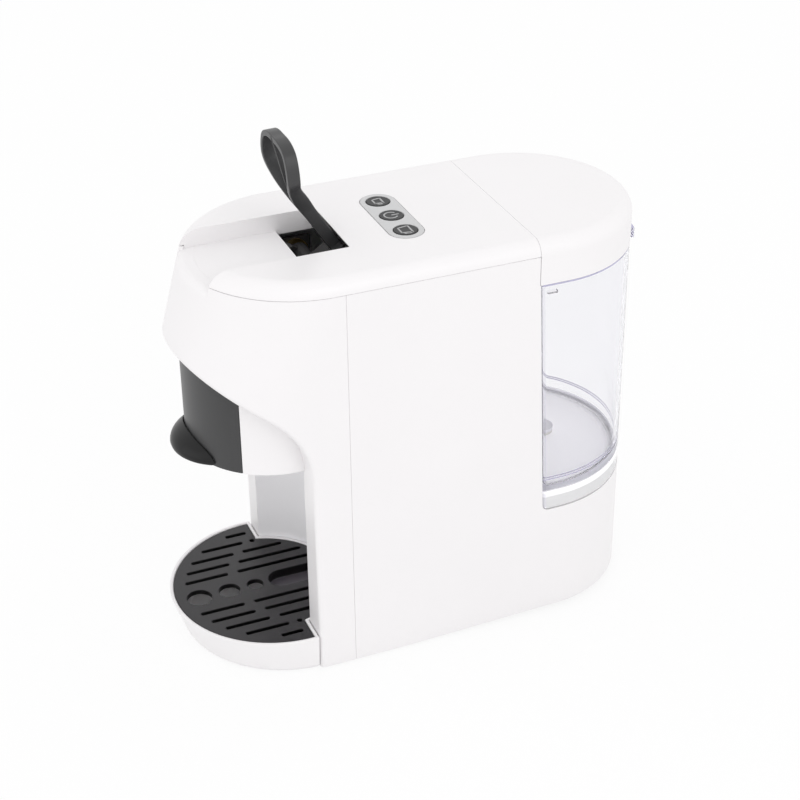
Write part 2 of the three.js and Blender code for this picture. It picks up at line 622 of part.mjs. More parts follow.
const brewPiston = () => cut(
  join(
    rod([0, BREW_Y, 169.6], [0, BREW_Y, 174], 20, 24),
    rod([0, BREW_Y, 173.9], [0, BREW_Y, 177.6], 17, 24)),
  rod([0, BREW_Y, 160], [0, BREW_Y, 180], 3.4, 16));
const pistonSeal = () => pipe([0, BREW_Y, 170.4], [0, BREW_Y, 173], 22, 20.4, 24);
const waterNeedle = () => cut(
  join(
    rod([0, BREW_Y, 164], [0, BREW_Y, 167], 0.9, 12, 3),
    rod([0, BREW_Y, 166.9], [0, BREW_Y, 177.4], 3, 12)),
  rod([0, BREW_Y, 168], [0, BREW_Y, 180], 1.2, 12));

// ---------- water tank ----------
const tankLean = (v) => {
  if (v.y < REAR_Y - 1) v.y += TANK_LEAN * (TANK_RIM - v.z);
};

function waterTank() {
  const flat = LID_Y + 0.6;
  const outer = prism(roundRearPlan(TANK_R, flat, REAR_Y), TANK_Z, TANK_RIM,
    { segments: 10, move: tankLean });
  const well = prism(roundRearPlan(TANK_R - SKIN, flat + SKIN, REAR_Y), TANK_FLOOR, TANK_RIM + 5,
    { segments: 10, move: tankLean });
  const under = prism(roundRearPlan(TANK_R - SKIN, flat + SKIN, REAR_Y), 0, TANK_FLOOR - 2.6,
    { segments: 10, move: tankLean });
  const tab = cut(
    prism(discPlan(TAB_REACH, 0, REAR_Y), 200.6, 206.4, { segments: 20 }),
    prism(discPlan(TANK_R - 1, 0, REAR_Y), 0, 300, { segments: 20 }))
    .intersect(box(-16, 16, 100, 160, 0, 300));
  const valveBoss = pipe([0, VALVE_Y, 71], [0, VALVE_Y, TANK_FLOOR - 2], 8, 5);
  const valveHole = rod([0, VALVE_Y, 60], [0, VALVE_Y, 100], 5, 20);
  return cut(join(cut(outer, well, under), tab, valveBoss), valveHole);
}

const tankValve = () => join(
  rod([0, VALVE_Y, 68.2], [0, VALVE_Y, 82.5], 1.6, 16),
  rod([0, VALVE_Y, TANK_FLOOR + 2], [0, VALVE_Y, TANK_FLOOR + 3.8], 6.8, 16));

const valveSeal = () => pipe([0, VALVE_Y, TANK_FLOOR + GAP], [0, VALVE_Y, TANK_FLOOR + 1.7], 6.6, 5.2);

function valveSpring() {
  const turns = 3;
  const radius = 3.2;
  const low = 71.4;
  const high = TANK_FLOOR - 0.4;
  class Helix extends THREE.Curve {
    getPoint(t, target = new THREE.Vector3()) {
      const angle = 2 * Math.PI * turns * t;
      return target.set(radius * Math.cos(angle), VALVE_Y + radius * Math.sin(angle), low + (high - low) * t);
    }
  }
  const section = new THREE.Shape();
  section.absarc(0, 0, 0.45, 0, 2 * Math.PI);
  return solid(new THREE.ExtrudeGeometry(section, {
    steps: turns * 10, curveSegments: 2, extrudePath: new Helix(), bevelEnabled: false,
  }));
}

const tankSocket = () => cut(
  join(rod([0, VALVE_Y, 58], [0, VALVE_Y, 67.6], 10.4, 16), rod([0, VALVE_Y, 50], [0, VALVE_Y, 58.1], 4, 20),
    rod([0, VALVE_Y, 62], [0, VALVE_Y, 65.6], 14, 16)),
  rod([0, VALVE_Y, 61], [0, VALVE_Y, 70], 8.8, 16),
  rod([0, VALVE_Y, 45], [0, VALVE_Y, 70], 2.2, 16));
const socketSeal = () => pipe([0, VALVE_Y, 61.4], [0, VALVE_Y, 64], 8.4, 5.6);

// ---------- pump, heater, flow meter, electrics ----------
const PUMP = { x: 24, y: 18, z: 36 };
const pumpBody = () => {
  const { x, y, z } = PUMP;
  return cut(
    join(rod([x, y - 36, z], [x, y + 36, z], 9, 16), rod([x, y + 35.9, z], [x, y + 43, z], 3, 16),
      rod([x, y - 43, z], [x, y - 35.9, z], 3, 16)),
    rod([x, y - 30, z], [x, y + 30, z], 6, 20),
    rod([x, y - 50, z], [x, y + 50, z], 1.4, 12));
};
const pumpCoil = () => cut(
  box(PUMP.x - 19, PUMP.x + 19, PUMP.y - 20, PUMP.y + 20, PUMP.z - 19, PUMP.z + 19),
  rod([PUMP.x, -60, PUMP.z], [PUMP.x, 60, PUMP.z], 9.4, 16));
const pumpPlunger = () => rod([PUMP.x, PUMP.y - 18, PUMP.z], [PUMP.x, PUMP.y + 20, PUMP.z], 5.5, 20);
const pumpMount = (y) => cut(
  box(PUMP.x - 15, PUMP.x + 15, y - 3, y + 3, 4.9, PUMP.z + 14),
  rod([PUMP.x, -60, PUMP.z], [PUMP.x, 60, PUMP.z], 9.3, 16));

const FLOW = { x: -28, y: 24, z: 26 };
const flowBody = () => cut(
  join(rod([FLOW.x, FLOW.y, FLOW.z], [FLOW.x, FLOW.y, FLOW.z + 12], 15, 20),
    rod([FLOW.x, FLOW.y + 14, FLOW.z + 5], [FLOW.x, FLOW.y + 22, FLOW.z + 5], 3, 16),
    rod([FLOW.x + 14, FLOW.y, FLOW.z + 5], [FLOW.x + 22, FLOW.y, FLOW.z + 5], 3, 16),
    box(FLOW.x - 4, FLOW.x + 4, FLOW.y - 4, FLOW.y + 4, 4.8, FLOW.z + 1)),
  rod([FLOW.x, FLOW.y, FLOW.z + 2], [FLOW.x, FLOW.y, FLOW.z + 20], 13, 20));
const flowCap = () => rod([FLOW.x, FLOW.y, FLOW.z + 12.3], [FLOW.x, FLOW.y, FLOW.z + 14.6], 15, 20);
const flowRotor = () => join(
  rod([FLOW.x, FLOW.y, FLOW.z + 2.5], [FLOW.x, FLOW.y, FLOW.z + 11.6], 2.4, 16),
  ...[0, 1, 2].map((k) => {
    const angle = k * Math.PI / 3;
    const blade = new THREE.BoxGeometry(22, 1.6, 6);
    blade.rotateZ(angle);
    blade.translate(FLOW.x, FLOW.y, FLOW.z + 7);
    return solid(blade);
  }));

const HEATER = { x: -24, y: -6, z: 150 };
const thermoblock = () => join(
  rod([HEATER.x, HEATER.y, HEATER.z], [HEATER.x, HEATER.y, HEATER.z + 30], 25, 24),
  rod([HEATER.x + 10, HEATER.y - 24, HEATER.z + 22], [HEATER.x + 10, HEATER.y - 32, HEATER.z + 22], 3.4, 16),
  rod([HEATER.x + 10, HEATER.y + 20, HEATER.z + 8], [HEATER.x + 10, HEATER.y + 30, HEATER.z + 8], 3.4, 16),
  rod([HEATER.x - 8, HEATER.y + 20, HEATER.z + 15], [HEATER.x - 8, HEATER.y + 36, HEATER.z + 15], 2.2, 16));
const heaterBracket = () => join(
  box(HEATER.x - 30, HEATER.x + 30, HEATER.y - 20, HEATER.y + 20, HEATER.z - 4, HEATER.z - 0.4),
  box(HEATER.x - 30, HEATER.x - 26.4, HEATER.y - 12, HEATER.y + 12, 4.8, HEATER.z - 3.9));
const thermostat = (dx, dy) => join(
  rod([HEATER.x + dx, HEATER.y + dy, HEATER.z + 30.3], [HEATER.x + dx, HEATER.y + dy, HEATER.z + 36], 7, 20),
  box(HEATER.x + dx - 1, HEATER.x + dx + 1, HEATER.y + dy - 3, HEATER.y + dy + 3,
    HEATER.z + 35.9, HEATER.z + 42));

const controlBoard = () => join(
  box(48.6, 50.2, -30, 40, 84, 160),
  box(40, 48.7, -22, 0, 92, 112), box(42, 48.7, 8, 30, 94, 116), box(38, 48.7, -16, 12, 124, 146),
  rod([44, 26, 130], [44, 26, 150], 4.4, 20).add(box(44, 49, 24, 28, 134, 146)));
const boardCarrier = () => cut(
  box(51, 53.4, -26, 46, 4.9, 168),
  box(40, 60, -20, 30, 20, 70));

const cordGland = () => cut(
  join(rod([0, 121, CORD_Z], [0, 126.7, CORD_Z], 9, 16), rod([0, 120, CORD_Z], [0, 132.4, CORD_Z], 6, 16)),
  rod([0, 100, CORD_Z], [0, 140, CORD_Z], 3.2, 16));

const RELIEF_Y = PUMP.y - 48.6;
const reliefValve = () => join(
  box(PUMP.x - 6, PUMP.x + 6, RELIEF_Y - 5, RELIEF_Y + 5, PUMP.z - 6, PUMP.z + 6),
  rod([PUMP.x, RELIEF_Y, PUMP.z + 5], [PUMP.x, RELIEF_Y, PUMP.z + 12], 3, 16));

const HOSES = {
  hose_tank: {
    radius: 3.4,
    path: [[0, VALVE_Y, 49.4], [0, VALVE_Y, 44], [-10, 76, 33], [-24, 62, 31], [FLOW.x, 52, 31],
      [FLOW.x, 46.6, 31]],
  },
  hose_pump_inlet: {
    radius: 3.4,
    path: [[-5.4, FLOW.y, 31], [-2, FLOW.y, 31], [0, 34, 44], [4, 58, 60], [20, 74, 52],
      [PUMP.x, 70, 37], [PUMP.x, 61.6, 36]],
  },
  hose_heater: {
    radius: 2.6,
    path: [[PUMP.x, RELIEF_Y, 48.6], [PUMP.x, RELIEF_Y, 53], [18, -24, 90], [2, 14, 128],
      [-13, 38, 152], [-14, 30, 158], [-14, 24.5, 158]],
  },
  hose_brew: {
    radius: 2.2,
    path: [[-14, -38.6, 172], [-14, -42, 172.4], [-8, -54, 194], [-1, -70, 204], [0, BREW_Y, 199],
      [0, BREW_Y, 194.5]],
  },
};

// ---------- assembly ----------
node('front_casing', frontCasing(), 'white');
node('rear_casing', rearCasing(), 'white');
node('column_panel', columnPanel(), 'shade');
node('base_plate', basePlate(), 'graphite');
['front_left', 'front_right', 'rear_left', 'rear_right'].forEach((place, i) => {
  node(`foot_${place}`, foot(...FEET[i]), 'rubber');
});
BASE_SCREWS.forEach(([x, y], i) => node(`base_screw_${i + 1}`, baseScrew(x, y), 'steel'));
node('top_cover', topCover(), 'white');
node('button_pad', buttonPad(), 'silver');
['small_cup', 'power', 'large_cup'].forEach((use, i) => node(`button_${use}`, button(i - 1), 'graphite'));
node('button_board', buttonBoard(), 'board');
node('drip_tray', dripTray(), 'white');
node('drip_grid', dripGrid(), 'graphite');
node('drawer_front', drawerFront(), 'black');
node('capsule_drawer', capsuleDrawer(), 'graphite');
node('lever_handle', leverHandle(), 'black');
node('lever_crank', leverCrank(), 'graphite');
node('lever_axle', leverAxle(), 'steel');
node('lever_bush_left', leverBush(-1), 'brass');
node('lever_bush_right', leverBush(1), 'brass');
node('brew_frame', brewFrame(), 'graphite');
node('guide_rod_left', guideRod(-1), 'steel');
node('guide_rod_right', guideRod(1), 'steel');
node('brew_carriage', brewCarriage(), 'graphite');
node('brew_piston', brewPiston(), 'black');
node('piston_seal', pistonSeal(), 'silicone');
node('water_needle', waterNeedle(), 'steel');
node('water_tank', waterTank(), 'clear');
node('tank_lid', tankLid(), 'white');
node('tank_valve', tankValve(), 'black');
node('valve_seal', valveSeal(), 'silicone');
node('valve_spring', valveSpring(), 'steel');
node('tank_socket', tankSocket(), 'graphite');
node('socket_seal', socketSeal(), 'silicone');
node('pump_body', pumpBody(), 'black');
node('pump_coil', pumpCoil(), 'copper');
node('pump_plunger', pumpPlunger(), 'steel');
node('pump_mount_front', pumpMount(PUMP.y - 31), 'rubber');
node('pump_mount_rear', pumpMount(PUMP.y + 31), 'rubber');
node('relief_valve', reliefValve(), 'brass');
node('flow_meter_body', flowBody(), 'graphite');
node('flow_meter_cap', flowCap(), 'graphite');
node('flow_meter_rotor', flowRotor(), 'silicone');
node('thermoblock', thermoblock(), 'alloy');
node('heater_bracket', heaterBracket(), 'steel');
node('thermostat', thermostat(-8, -8), 'black');
node('control_board', controlBoard(), 'board');
node('board_carrier', boardCarrier(), 'shade');
node('cord_gland', cordGland(), 'rubber');
Object.entries(HOSES).forEach(([name, { radius, path }]) => node(name, hose(path, radius), 'silicone'));

export default group;
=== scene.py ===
import json
from math import acos, asin, atan2, cos, pi, radians, sin, sqrt

import bmesh
import bpy
from mathutils import Matrix, Vector


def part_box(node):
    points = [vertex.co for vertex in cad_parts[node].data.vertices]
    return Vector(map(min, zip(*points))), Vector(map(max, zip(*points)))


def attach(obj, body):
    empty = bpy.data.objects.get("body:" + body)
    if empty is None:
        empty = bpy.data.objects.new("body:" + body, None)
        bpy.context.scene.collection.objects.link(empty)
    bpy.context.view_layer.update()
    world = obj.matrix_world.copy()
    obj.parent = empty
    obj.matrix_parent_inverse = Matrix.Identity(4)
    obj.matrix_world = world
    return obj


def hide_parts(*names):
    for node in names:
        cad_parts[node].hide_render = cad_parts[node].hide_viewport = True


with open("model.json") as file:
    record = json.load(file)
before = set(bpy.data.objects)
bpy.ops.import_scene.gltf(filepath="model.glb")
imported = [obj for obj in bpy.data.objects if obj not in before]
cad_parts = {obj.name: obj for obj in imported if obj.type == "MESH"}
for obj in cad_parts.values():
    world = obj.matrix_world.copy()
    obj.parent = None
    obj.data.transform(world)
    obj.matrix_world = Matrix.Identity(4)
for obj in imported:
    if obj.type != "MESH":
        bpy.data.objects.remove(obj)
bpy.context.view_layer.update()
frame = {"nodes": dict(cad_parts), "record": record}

# A pod coffee machine: covers, casings, brew head, tray, lever and clear tank,
# skinned round the frame of its working parts. Lengths below are millimetres.
MM = 0.001


def extent(node):
    low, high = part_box(node)
    return low / MM, high / MM


# ---------- sizes, from the frame ----------
rear_low, rear_high = extent("rear_casing")
tray_low, tray_high = extent("drip_tray")
grid_low, grid_high = extent("drip_grid")
panel_low, panel_high = extent("drawer_front")
tank_low, tank_high = extent("water_tank")
pad_low, pad_high = extent("button_pad")

SEAM = 0.3                          # gap between the casings
HALF_W = rear_high.x
REAR_Y = rear_high.y - HALF_W
CASING_TOP = rear_high.z
CASING_FOOT = rear_low.z
TOP_Z = extent("top_cover")[1].z
LID_Y = extent("tank_lid")[0].y - SEAM / 2
LID_Z = extent("tank_lid")[0].z
SEAM_Y = extent("front_casing")[1].y + SEAM / 2
LID_SEAM = 0.18                     # gap between the cover and the tank's lid
WALL = 2.4                          # casing wall
SKIN = 2.2                          # cover and tank wall
EDGE_R = 8.0                        # rounding of the covers' top edge
ACROSS = 80.0                       # further out than either side, for cutters

# head: its front leans out, its underside is a slope, an arc and a vertical front
FRONT_Y = -52.5
FRONT_LEAN = 0.273
CHEEK_Y = -70.4
UNDER_R = 50.0
UNDER_Z = 118.3
UNDER_TURN = radians(56.5)
UNDER_SLOPE = 0.66

# lower head
NECK_R = 46.0
NECK_Y = -72.5
NECK_Z = panel_low.z - 0.2
PANEL_HALF = panel_high.x
TAB_R = 27.6
TAB_Y = -100.0
TAB_HIGH = 13.0
SPOUT_HALF = 9.0

# column behind the cup
COLUMN_R = 45.5
COLUMN_Y = -84.2
COLUMN_EDGE = 43.6

# drip tray
TRAY_R = 60.0
BREW_Y = tray_low.y + TRAY_R
TRAY_DRAFT = 0.26
TRAY_TAPER = 0.065
TRAY_WALL = 1.8

# lever channel in the cover, and the slot at its rear end
SLOT_HALF = 25.5
LIP_R = 4.0
LIP_DEEP = 9.0
SLOT_FRONT = -57.0
SLOT_REAR = -35.1
CHANNEL_Z = 221.9

# buttons and their pad
BUTTON_Y = (pad_low.y + pad_high.y) / 2
BUTTON_PITCH = 18.9
BUTTON_R = 6.2
PAD_R = (pad_high.y - pad_low.y) / 2
PAD_HALF = pad_high.x - PAD_R

# lever: a strap whose stem leans forward and whose loop stands nearly upright
STEM_LEAN = radians(32.5)
LOOP_LEAN = radians(2.0)
STEM_Y = -40.3
STEM_ROOT = -19.5
BEND_FROM = 27.0
BEND_TO = 49.0
LOOP_TOP = 60.0
STRAP_T = 3.1
STRAP_B = 6.5
SWELL_AT = 23.0                     # the strap is broadest where the loop leaves the stem
SWELL_REACH = 15.0
SWELL = 0.18

# water tank
TANK_RIM = 207.1
TANK_FLOOR = 80.0
TANK_UNDER = TANK_FLOOR - 2.6
TANK_FILLET = 7.0
FLOOR_LINE = TANK_FLOOR + 8.4       # violet line round the outside of the wall
TANK_R = tank_high.x
TANK_Y = 55.0
TANK_LEAN = 0.038
VALVE_Y = 88.0


# ---------- mesh helpers ----------
def arc(cx, cy, radius, start, end, steps):
    turn = (end - start) / steps
    return [(cx + radius * cos(start + i * turn), cy + radius * sin(start + i * turn))
            for i in range(steps + 1)]


def line(start, end, steps):
    """Points from start up to, but not with, end."""
    a, b = Vector(start), Vector(end)
    return [tuple(a.lerp(b, i / steps)) for i in range(steps)]


def skin(bm, rows, closed=True):
    """Bridge rows of points into one surface, and give back each row's edges."""
    rings = []
    for row in rows:
        verts = [bm.verts.new(point) for point in row]
        ahead = verts[1:] + verts[:1] if closed else verts[1:]
        rings.append([bm.edges.new(pair) for pair in zip(verts, ahead)])
    for low, high in zip(rings, rings[1:]):
        bmesh.ops.bridge_loops(bm, edges=low + high)
    return rings


def stack(layers, outline):
    """A closed solid from an outline drawn at several (inset, z) layers."""
    bm = bmesh.new()
    rings = skin(bm, [[(x, y, z) for x, y in outline(inset, z)] for inset, z in layers])
    for ring in (rings[0], rings[-1]):
        bmesh.ops.edgeloop_fill(bm, edges=ring)
    bmesh.ops.recalc_face_normals(bm, faces=bm.faces)
    return bm


def extruded(points, vector):
    bm = bmesh.new()
    face = bm.faces.new([bm.verts.new(point) for point in points])
    lifted = bmesh.ops.extrude_face_region(bm, geom=[face], use_keep_orig=True)
    moved = [item for item in lifted["geom"] if isinstance(item, bmesh.types.BMVert)]
    bmesh.ops.translate(bm, vec=vector, verts=moved)
    bmesh.ops.recalc_face_normals(bm, faces=bm.faces)
    return bm


def upright(outline, z0, z1):
    return extruded([(x, y, z0) for x, y in outline], (0, 0, z1 - z0))


def sideways(outline, x0, x1):
    """A side outline of (y, z) points, pulled out along X."""
    return extruded([(x0, y, z) for y, z in outline], (x1 - x0, 0, 0))


def disc(x, y, radius, z0, z1, steps=40):
    return upright(arc(x, y, radius, 0, 2 * pi, steps)[:-1], z0, z1)


def block(x0, x1, y0, y1, z0, z1):
    bm = bmesh.new()
    bmesh.ops.create_cube(bm, size=1.0)
    bmesh.ops.scale(bm, vec=(x1 - x0, y1 - y0, z1 - z0), verts=bm.verts)
    bmesh.ops.translate(bm, vec=((x0 + x1) / 2, (y0 + y1) / 2, (z0 + z1) / 2), verts=bm.verts)
    return bm


def turned(profile, x, y, steps=64):
    """A solid of revolution; the profile is a list of (radius, z) from axis to axis."""
    bm = bmesh.new()
    verts = [bm.verts.new((radius, 0, z)) for radius, z in profile]
    edges = [bm.edges.new(pair) for pair in zip(verts, verts[1:])]
    bmesh.ops.spin(bm, geom=verts + edges, cent=(0, 0, 0), axis=(0, 0, 1), angle=2 * pi, steps=steps,
                   use_merge=True)
    bmesh.ops.remove_doubles(bm, verts=bm.verts, dist=1e-4)
    bmesh.ops.translate(bm, vec=(x, y, 0), verts=bm.verts)
    bmesh.ops.recalc_face_normals(bm, faces=bm.faces)
    return bm


def merge(first, *others):
    """Put several solids in one mesh."""
    for other in others:
        mesh = bpy.data.meshes.new("shared")
        other.to_mesh(mesh)
        first.from_mesh(mesh)
        bpy.data.meshes.remove(mesh)
        other.free()
    return first


def stand_in(bm):
    mesh = bpy.data.meshes.new("stand_in")
    bm.to_mesh(mesh)
    bm.free()
    item = bpy.data.objects.new("stand_in", mesh)
    bpy.context.scene.collection.objects.link(item)
    return item


def evaluated(item, *spare):
    bm = bmesh.new()
    bm.from_object(item, bpy.context.evaluated_depsgraph_get())
    for old in (item, *spare):
        mesh = old.data
        bpy.data.objects.remove(old)
        bpy.data.meshes.remove(mesh)
    return bm


def combine(base, operation, *tools):
    item = stand_in(base)
    others = [stand_in(tool) for tool in tools]
    for other in others:
        modifier = item.modifiers.new(operation, "BOOLEAN")
        modifier.operation = operation
        modifier.object = other
        modifier.solver = "EXACT"
    return evaluated(item, *others)


def cut(base, *tools):
    return combine(base, "DIFFERENCE", *tools)


def joined(base, *tools):
    return combine(base, "UNION", *tools)


def common(base, *tools):
    return combine(base, "INTERSECT", *tools)


def thickened(bm, wall):
    """Give an open sheet a wall on its inner side."""
    bmesh.ops.recalc_face_normals(bm, faces=bm.faces)
    item = stand_in(bm)
    modifier = item.modifiers.new("wall", "SOLIDIFY")
    modifier.thickness = wall
    modifier.offset = -1
    modifier.use_even_offset = True
    return evaluated(item)


def piece(name, bm, material, body, replaced, edge=0.3, angle=30, segments=2):
    """Finish a mesh: metres, soft edges, clean shading, its body and what it stands for."""
    bmesh.ops.remove_doubles(bm, verts=bm.verts, dist=1e-3)
    bmesh.ops.scale(bm, vec=(MM, MM, MM), verts=bm.verts)
    for face in bm.faces:
        face.smooth = True
    mesh = bpy.data.meshes.new(name)
    bm.to_mesh(mesh)
    bm.free()
    item = bpy.data.objects.new(name, mesh)
    bpy.context.scene.collection.objects.link(item)
    mesh.materials.append(material)
    if edge:
        bevel = item.modifiers.new("soft edges", "BEVEL")
        bevel.width = edge * MM
        bevel.segments = segments
        bevel.limit_method = "ANGLE"
        bevel.angle_limit = radians(angle)
        bevel.use_clamp_overlap = True
        bevel.miter_outer = "MITER_ARC"
    shading = item.modifiers.new("shading", "WEIGHTED_NORMAL")
    shading.keep_sharp = True
    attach(item, body)
    if replaced:
        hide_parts(*replaced)
    return item


# ---------- finishes ----------
def linear(level):
    share = level / 255
    return share / 12.92 if share <= 0.04045 else ((share + 0.055) / 1.055) ** 2.4


def colour(red, green, blue):
    return (linear(red), linear(green), linear(blue), 1.0)


def moulded(name, base, roughness, grain=0.05, grain_scale=2200.0, drift=0.03, coat=0.0, metallic=0.0):
    """Moulded or cast surface: a slow drift of tone, a fine grain, and uneven gloss."""
    material = bpy.data.materials.new(name)
    material.use_nodes = True
    nodes, links = material.node_tree.nodes, material.node_tree.links
    shader = nodes["Principled BSDF"]
    shader.inputs["Metallic"].default_value = metallic
    shader.inputs["Coat Weight"].default_value = coat
    place = nodes.new("ShaderNodeTexCoord")

    slow = nodes.new("ShaderNodeTexNoise")
    slow.inputs["Scale"].default_value = 22.0
    slow.inputs["Detail"].default_value = 3.0
    links.new(place.outputs["Object"], slow.inputs["Vector"])
    tones = nodes.new("ShaderNodeValToRGB")
    tones.color_ramp.elements[0].position = 0.3
    tones.color_ramp.elements[1].position = 0.7
    tones.color_ramp.elements[0].color = tuple(c * (1 - drift) for c in base[:3]) + (1.0,)
    tones.color_ramp.elements[1].color = base
    links.new(slow.outputs["Fac"], tones.inputs["Fac"])
    links.new(tones.outputs["Color"], shader.inputs["Base Color"])

    gloss = nodes.new("ShaderNodeMapRange")
    gloss.inputs["To Min"].default_value = roughness * 0.9
    gloss.inputs["To Max"].default_value = roughness * 1.12
    links.new(slow.outputs["Fac"], gloss.inputs["Value"])
    links.new(gloss.outputs["Result"], shader.inputs["Roughness"])

    fine = nodes.new("ShaderNodeTexNoise")
    fine.inputs["Scale"].default_value = grain_scale
    fine.inputs["Detail"].default_value = 2.0
    links.new(place.outputs["Object"], fine.inputs["Vector"])
    bump = nodes.new("ShaderNodeBump")
    bump.inputs["Strength"].default_value = grain
    bump.inputs["Distance"].default_value = 0.0002
    links.new(fine.outputs["Fac"], bump.inputs["Height"])
    links.new(bump.outputs["Normal"], shader.inputs["Normal"])
    return material


def brushed(name, base, roughness):
    """Turned or drawn metal with fine streaks along Z."""
    material = moulded(name, base, roughness, grain=0.0, metallic=1.0)
    nodes, links = material.node_tree.nodes, material.node_tree.links
    stretch = nodes.new("ShaderNodeMapping")
    stretch.inputs["Scale"].default_value = (2600.0, 2600.0, 90.0)
    streaks = nodes.new("ShaderNodeTexNoise")
    streaks.inputs["Scale"].default_value = 1.0
    streaks.inputs["Detail"].default_value = 2.0
    bump = nodes["Bump"]
    bump.inputs["Strength"].default_value = 0.15
    links.new(nodes["Texture Coordinate"].outputs["Object"], stretch.inputs["Vector"])
    links.new(stretch.outputs["Vector"], streaks.inputs["Vector"])
    links.new(streaks.outputs["Fac"], bump.inputs["Height"])
    return material


def shade_painted_grid(name, base, roughness):
    """A plate whose slot and pan walls are darkened by painted shade, more the further they turn from facing
    up, and whose finger pan floor is lightened by painted light.
    """
    material = moulded(name, base, roughness, grain=0.2, drift=0.06)
    nodes, links = material.node_tree.nodes, material.node_tree.links
    shader = nodes["Principled BSDF"]
    # painted shade: faces turned away from up, the slot and pan walls, are darkened down to near black
    facing = nodes.new("ShaderNodeSeparateXYZ")
    links.new(nodes["Texture Coordinate"].outputs["Normal"], facing.inputs["Vector"])
    level = nodes.new("ShaderNodeMapRange")
    level.inputs["From Min"].default_value = 0.3
    level.inputs["From Max"].default_value = 0.9
    level.inputs["To Min"].default_value = 0.04
    level.inputs["To Max"].default_value = 1.0
    links.new(facing.outputs["Z"], level.inputs["Value"])
    # painted light: the finger pan's floor, low in the plate, is made up to six times lighter
    place = nodes.new("ShaderNodeSeparateXYZ")
    links.new(nodes["Texture Coordinate"].outputs["Object"], place.inputs["Vector"])
    pan = nodes.new("ShaderNodeMapRange")
    pan.inputs["From Min"].default_value = (grid_low.z + 2.0) * MM
    pan.inputs["From Max"].default_value = (grid_low.z + 3.4) * MM
    pan.inputs["To Min"].default_value = 6.0
    pan.inputs["To Max"].default_value = 1.0
    links.new(place.outputs["Z"], pan.inputs["Value"])
    both = nodes.new("ShaderNodeMath")
    both.operation = "MULTIPLY"
    links.new(level.outputs["Result"], both.inputs[0])
    links.new(pan.outputs["Result"], both.inputs[1])
    shade = nodes.new("ShaderNodeMix")
    shade.data_type = "RGBA"
    shade.blend_type = "MULTIPLY"
    shade.inputs["Factor"].default_value = 1.0
    tones = shader.inputs["Base Color"].links[0].from_socket
    links.new(tones, shade.inputs["A"])
    links.new(both.outputs["Value"], shade.inputs["B"])
    links.new(shade.outputs["Result"], shader.inputs["Base Color"])
    return material


def clear_plastic(name, base, roughness, ior):
    """Clear wall with violet edges, and a nearly opaque floor with a faint emission: painted light standing
    in for the light that comes in through the walls.
    """
    material = moulded(name, base, roughness, grain=0.02, grain_scale=60.0, drift=0.006)
    nodes, links = material.node_tree.nodes, material.node_tree.links
    shader = nodes["Principled BSDF"]
    shader.inputs["IOR"].default_value = ior
    place = nodes.new("ShaderNodeSeparateXYZ")
    links.new(nodes["Texture Coordinate"].outputs["Object"], place.inputs["Vector"])

    def combined(operation, first, second):
        step = nodes.new("ShaderNodeMath")
        step.operation = operation
        for item, socket in zip((first, second), step.inputs):
            if isinstance(item, float):
                socket.default_value = item
            else:
                links.new(item, socket)
        return step.outputs["Value"]

    def ramp(value, start, end, low, high):
        step = nodes.new("ShaderNodeMapRange")
        for name, level in (("From Min", start), ("From Max", end), ("To Min", low), ("To Max", high)):
            step.inputs[name].default_value = level
        links.new(value, step.inputs["Value"])
        return step.outputs["Result"]

    height = place.outputs["Z"]
    rim = ramp(height, (TANK_RIM - 1.0) * MM, (TANK_RIM - 0.7) * MM, 0.0, 1.0)
    floor_line = combined(
        "MINIMUM", ramp(height, (FLOOR_LINE - 0.5) * MM, (FLOOR_LINE - 0.2) * MM, 0.0, 1.0),
        ramp(height, (FLOOR_LINE + 0.2) * MM, (FLOOR_LINE + 0.5) * MM, 1.0, 0.0))
    slant = combined("MULTIPLY", height, TANK_LEAN)
    depth = combined("ADD", place.outputs["Y"], slant)
    front = (TANK_Y + TANK_LEAN * TANK_RIM) * MM
    strip = combined("MULTIPLY", ramp(depth, front + 2.0 * MM, front + 2.4 * MM, 1.0, 0.0), 0.22)
    edge = combined("MAXIMUM", strip, combined("MULTIPLY", combined("MAXIMUM", rim, floor_line), 0.9))
    shade = nodes.new("ShaderNodeMix")
    shade.data_type = "RGBA"
    shade.inputs["B"].default_value = (0.4, 0.38, 0.58, 1.0)
    links.new(edge, shade.inputs["Factor"])
    links.new(shader.inputs["Base Color"].links[0].from_socket, shade.inputs["A"])
    links.new(shade.outputs["Result"], shader.inputs["Base Color"])
    floor_low, floor_high = (TANK_FLOOR + 0.2) * MM, (TANK_FLOOR + 1.6) * MM
    clear = combined(
        "MAXIMUM", ramp(height, floor_low, floor_high, 0.05, 0.97),
        ramp(height, (TANK_UNDER - 0.6) * MM, (TANK_UNDER - 0.2) * MM, 0.38, 0.05))
    # painted light: a faint white glow on the tank's floor, standing in for light that comes in through the
    # walls
    painted_floor_light = combined(
        "MULTIPLY", ramp(height, (TANK_FLOOR - 1.0) * MM, (TANK_FLOOR - 0.6) * MM, 0.0, 1.0),
        ramp(height, floor_low, floor_high, 0.21, 0.0))
    shader.inputs["Emission Color"].default_value = (0.97, 0.95, 1.0, 1.0)
    links.new(painted_floor_light, shader.inputs["Emission Strength"])
    less = combined("MULTIPLY", edge, 0.6)
    links.new(combined("SUBTRACT", clear, less), shader.inputs["Transmission Weight"])
    tint = nodes.new("ShaderNodeVolumeAbsorption")
    tint.inputs["Color"].default_value = (0.72, 0.7, 0.9, 1.0)
    tint.inputs["Density"].default_value = 12.0
    links.new(tint.outputs["Volume"], nodes["Material Output"].inputs["Volume"])
    return material


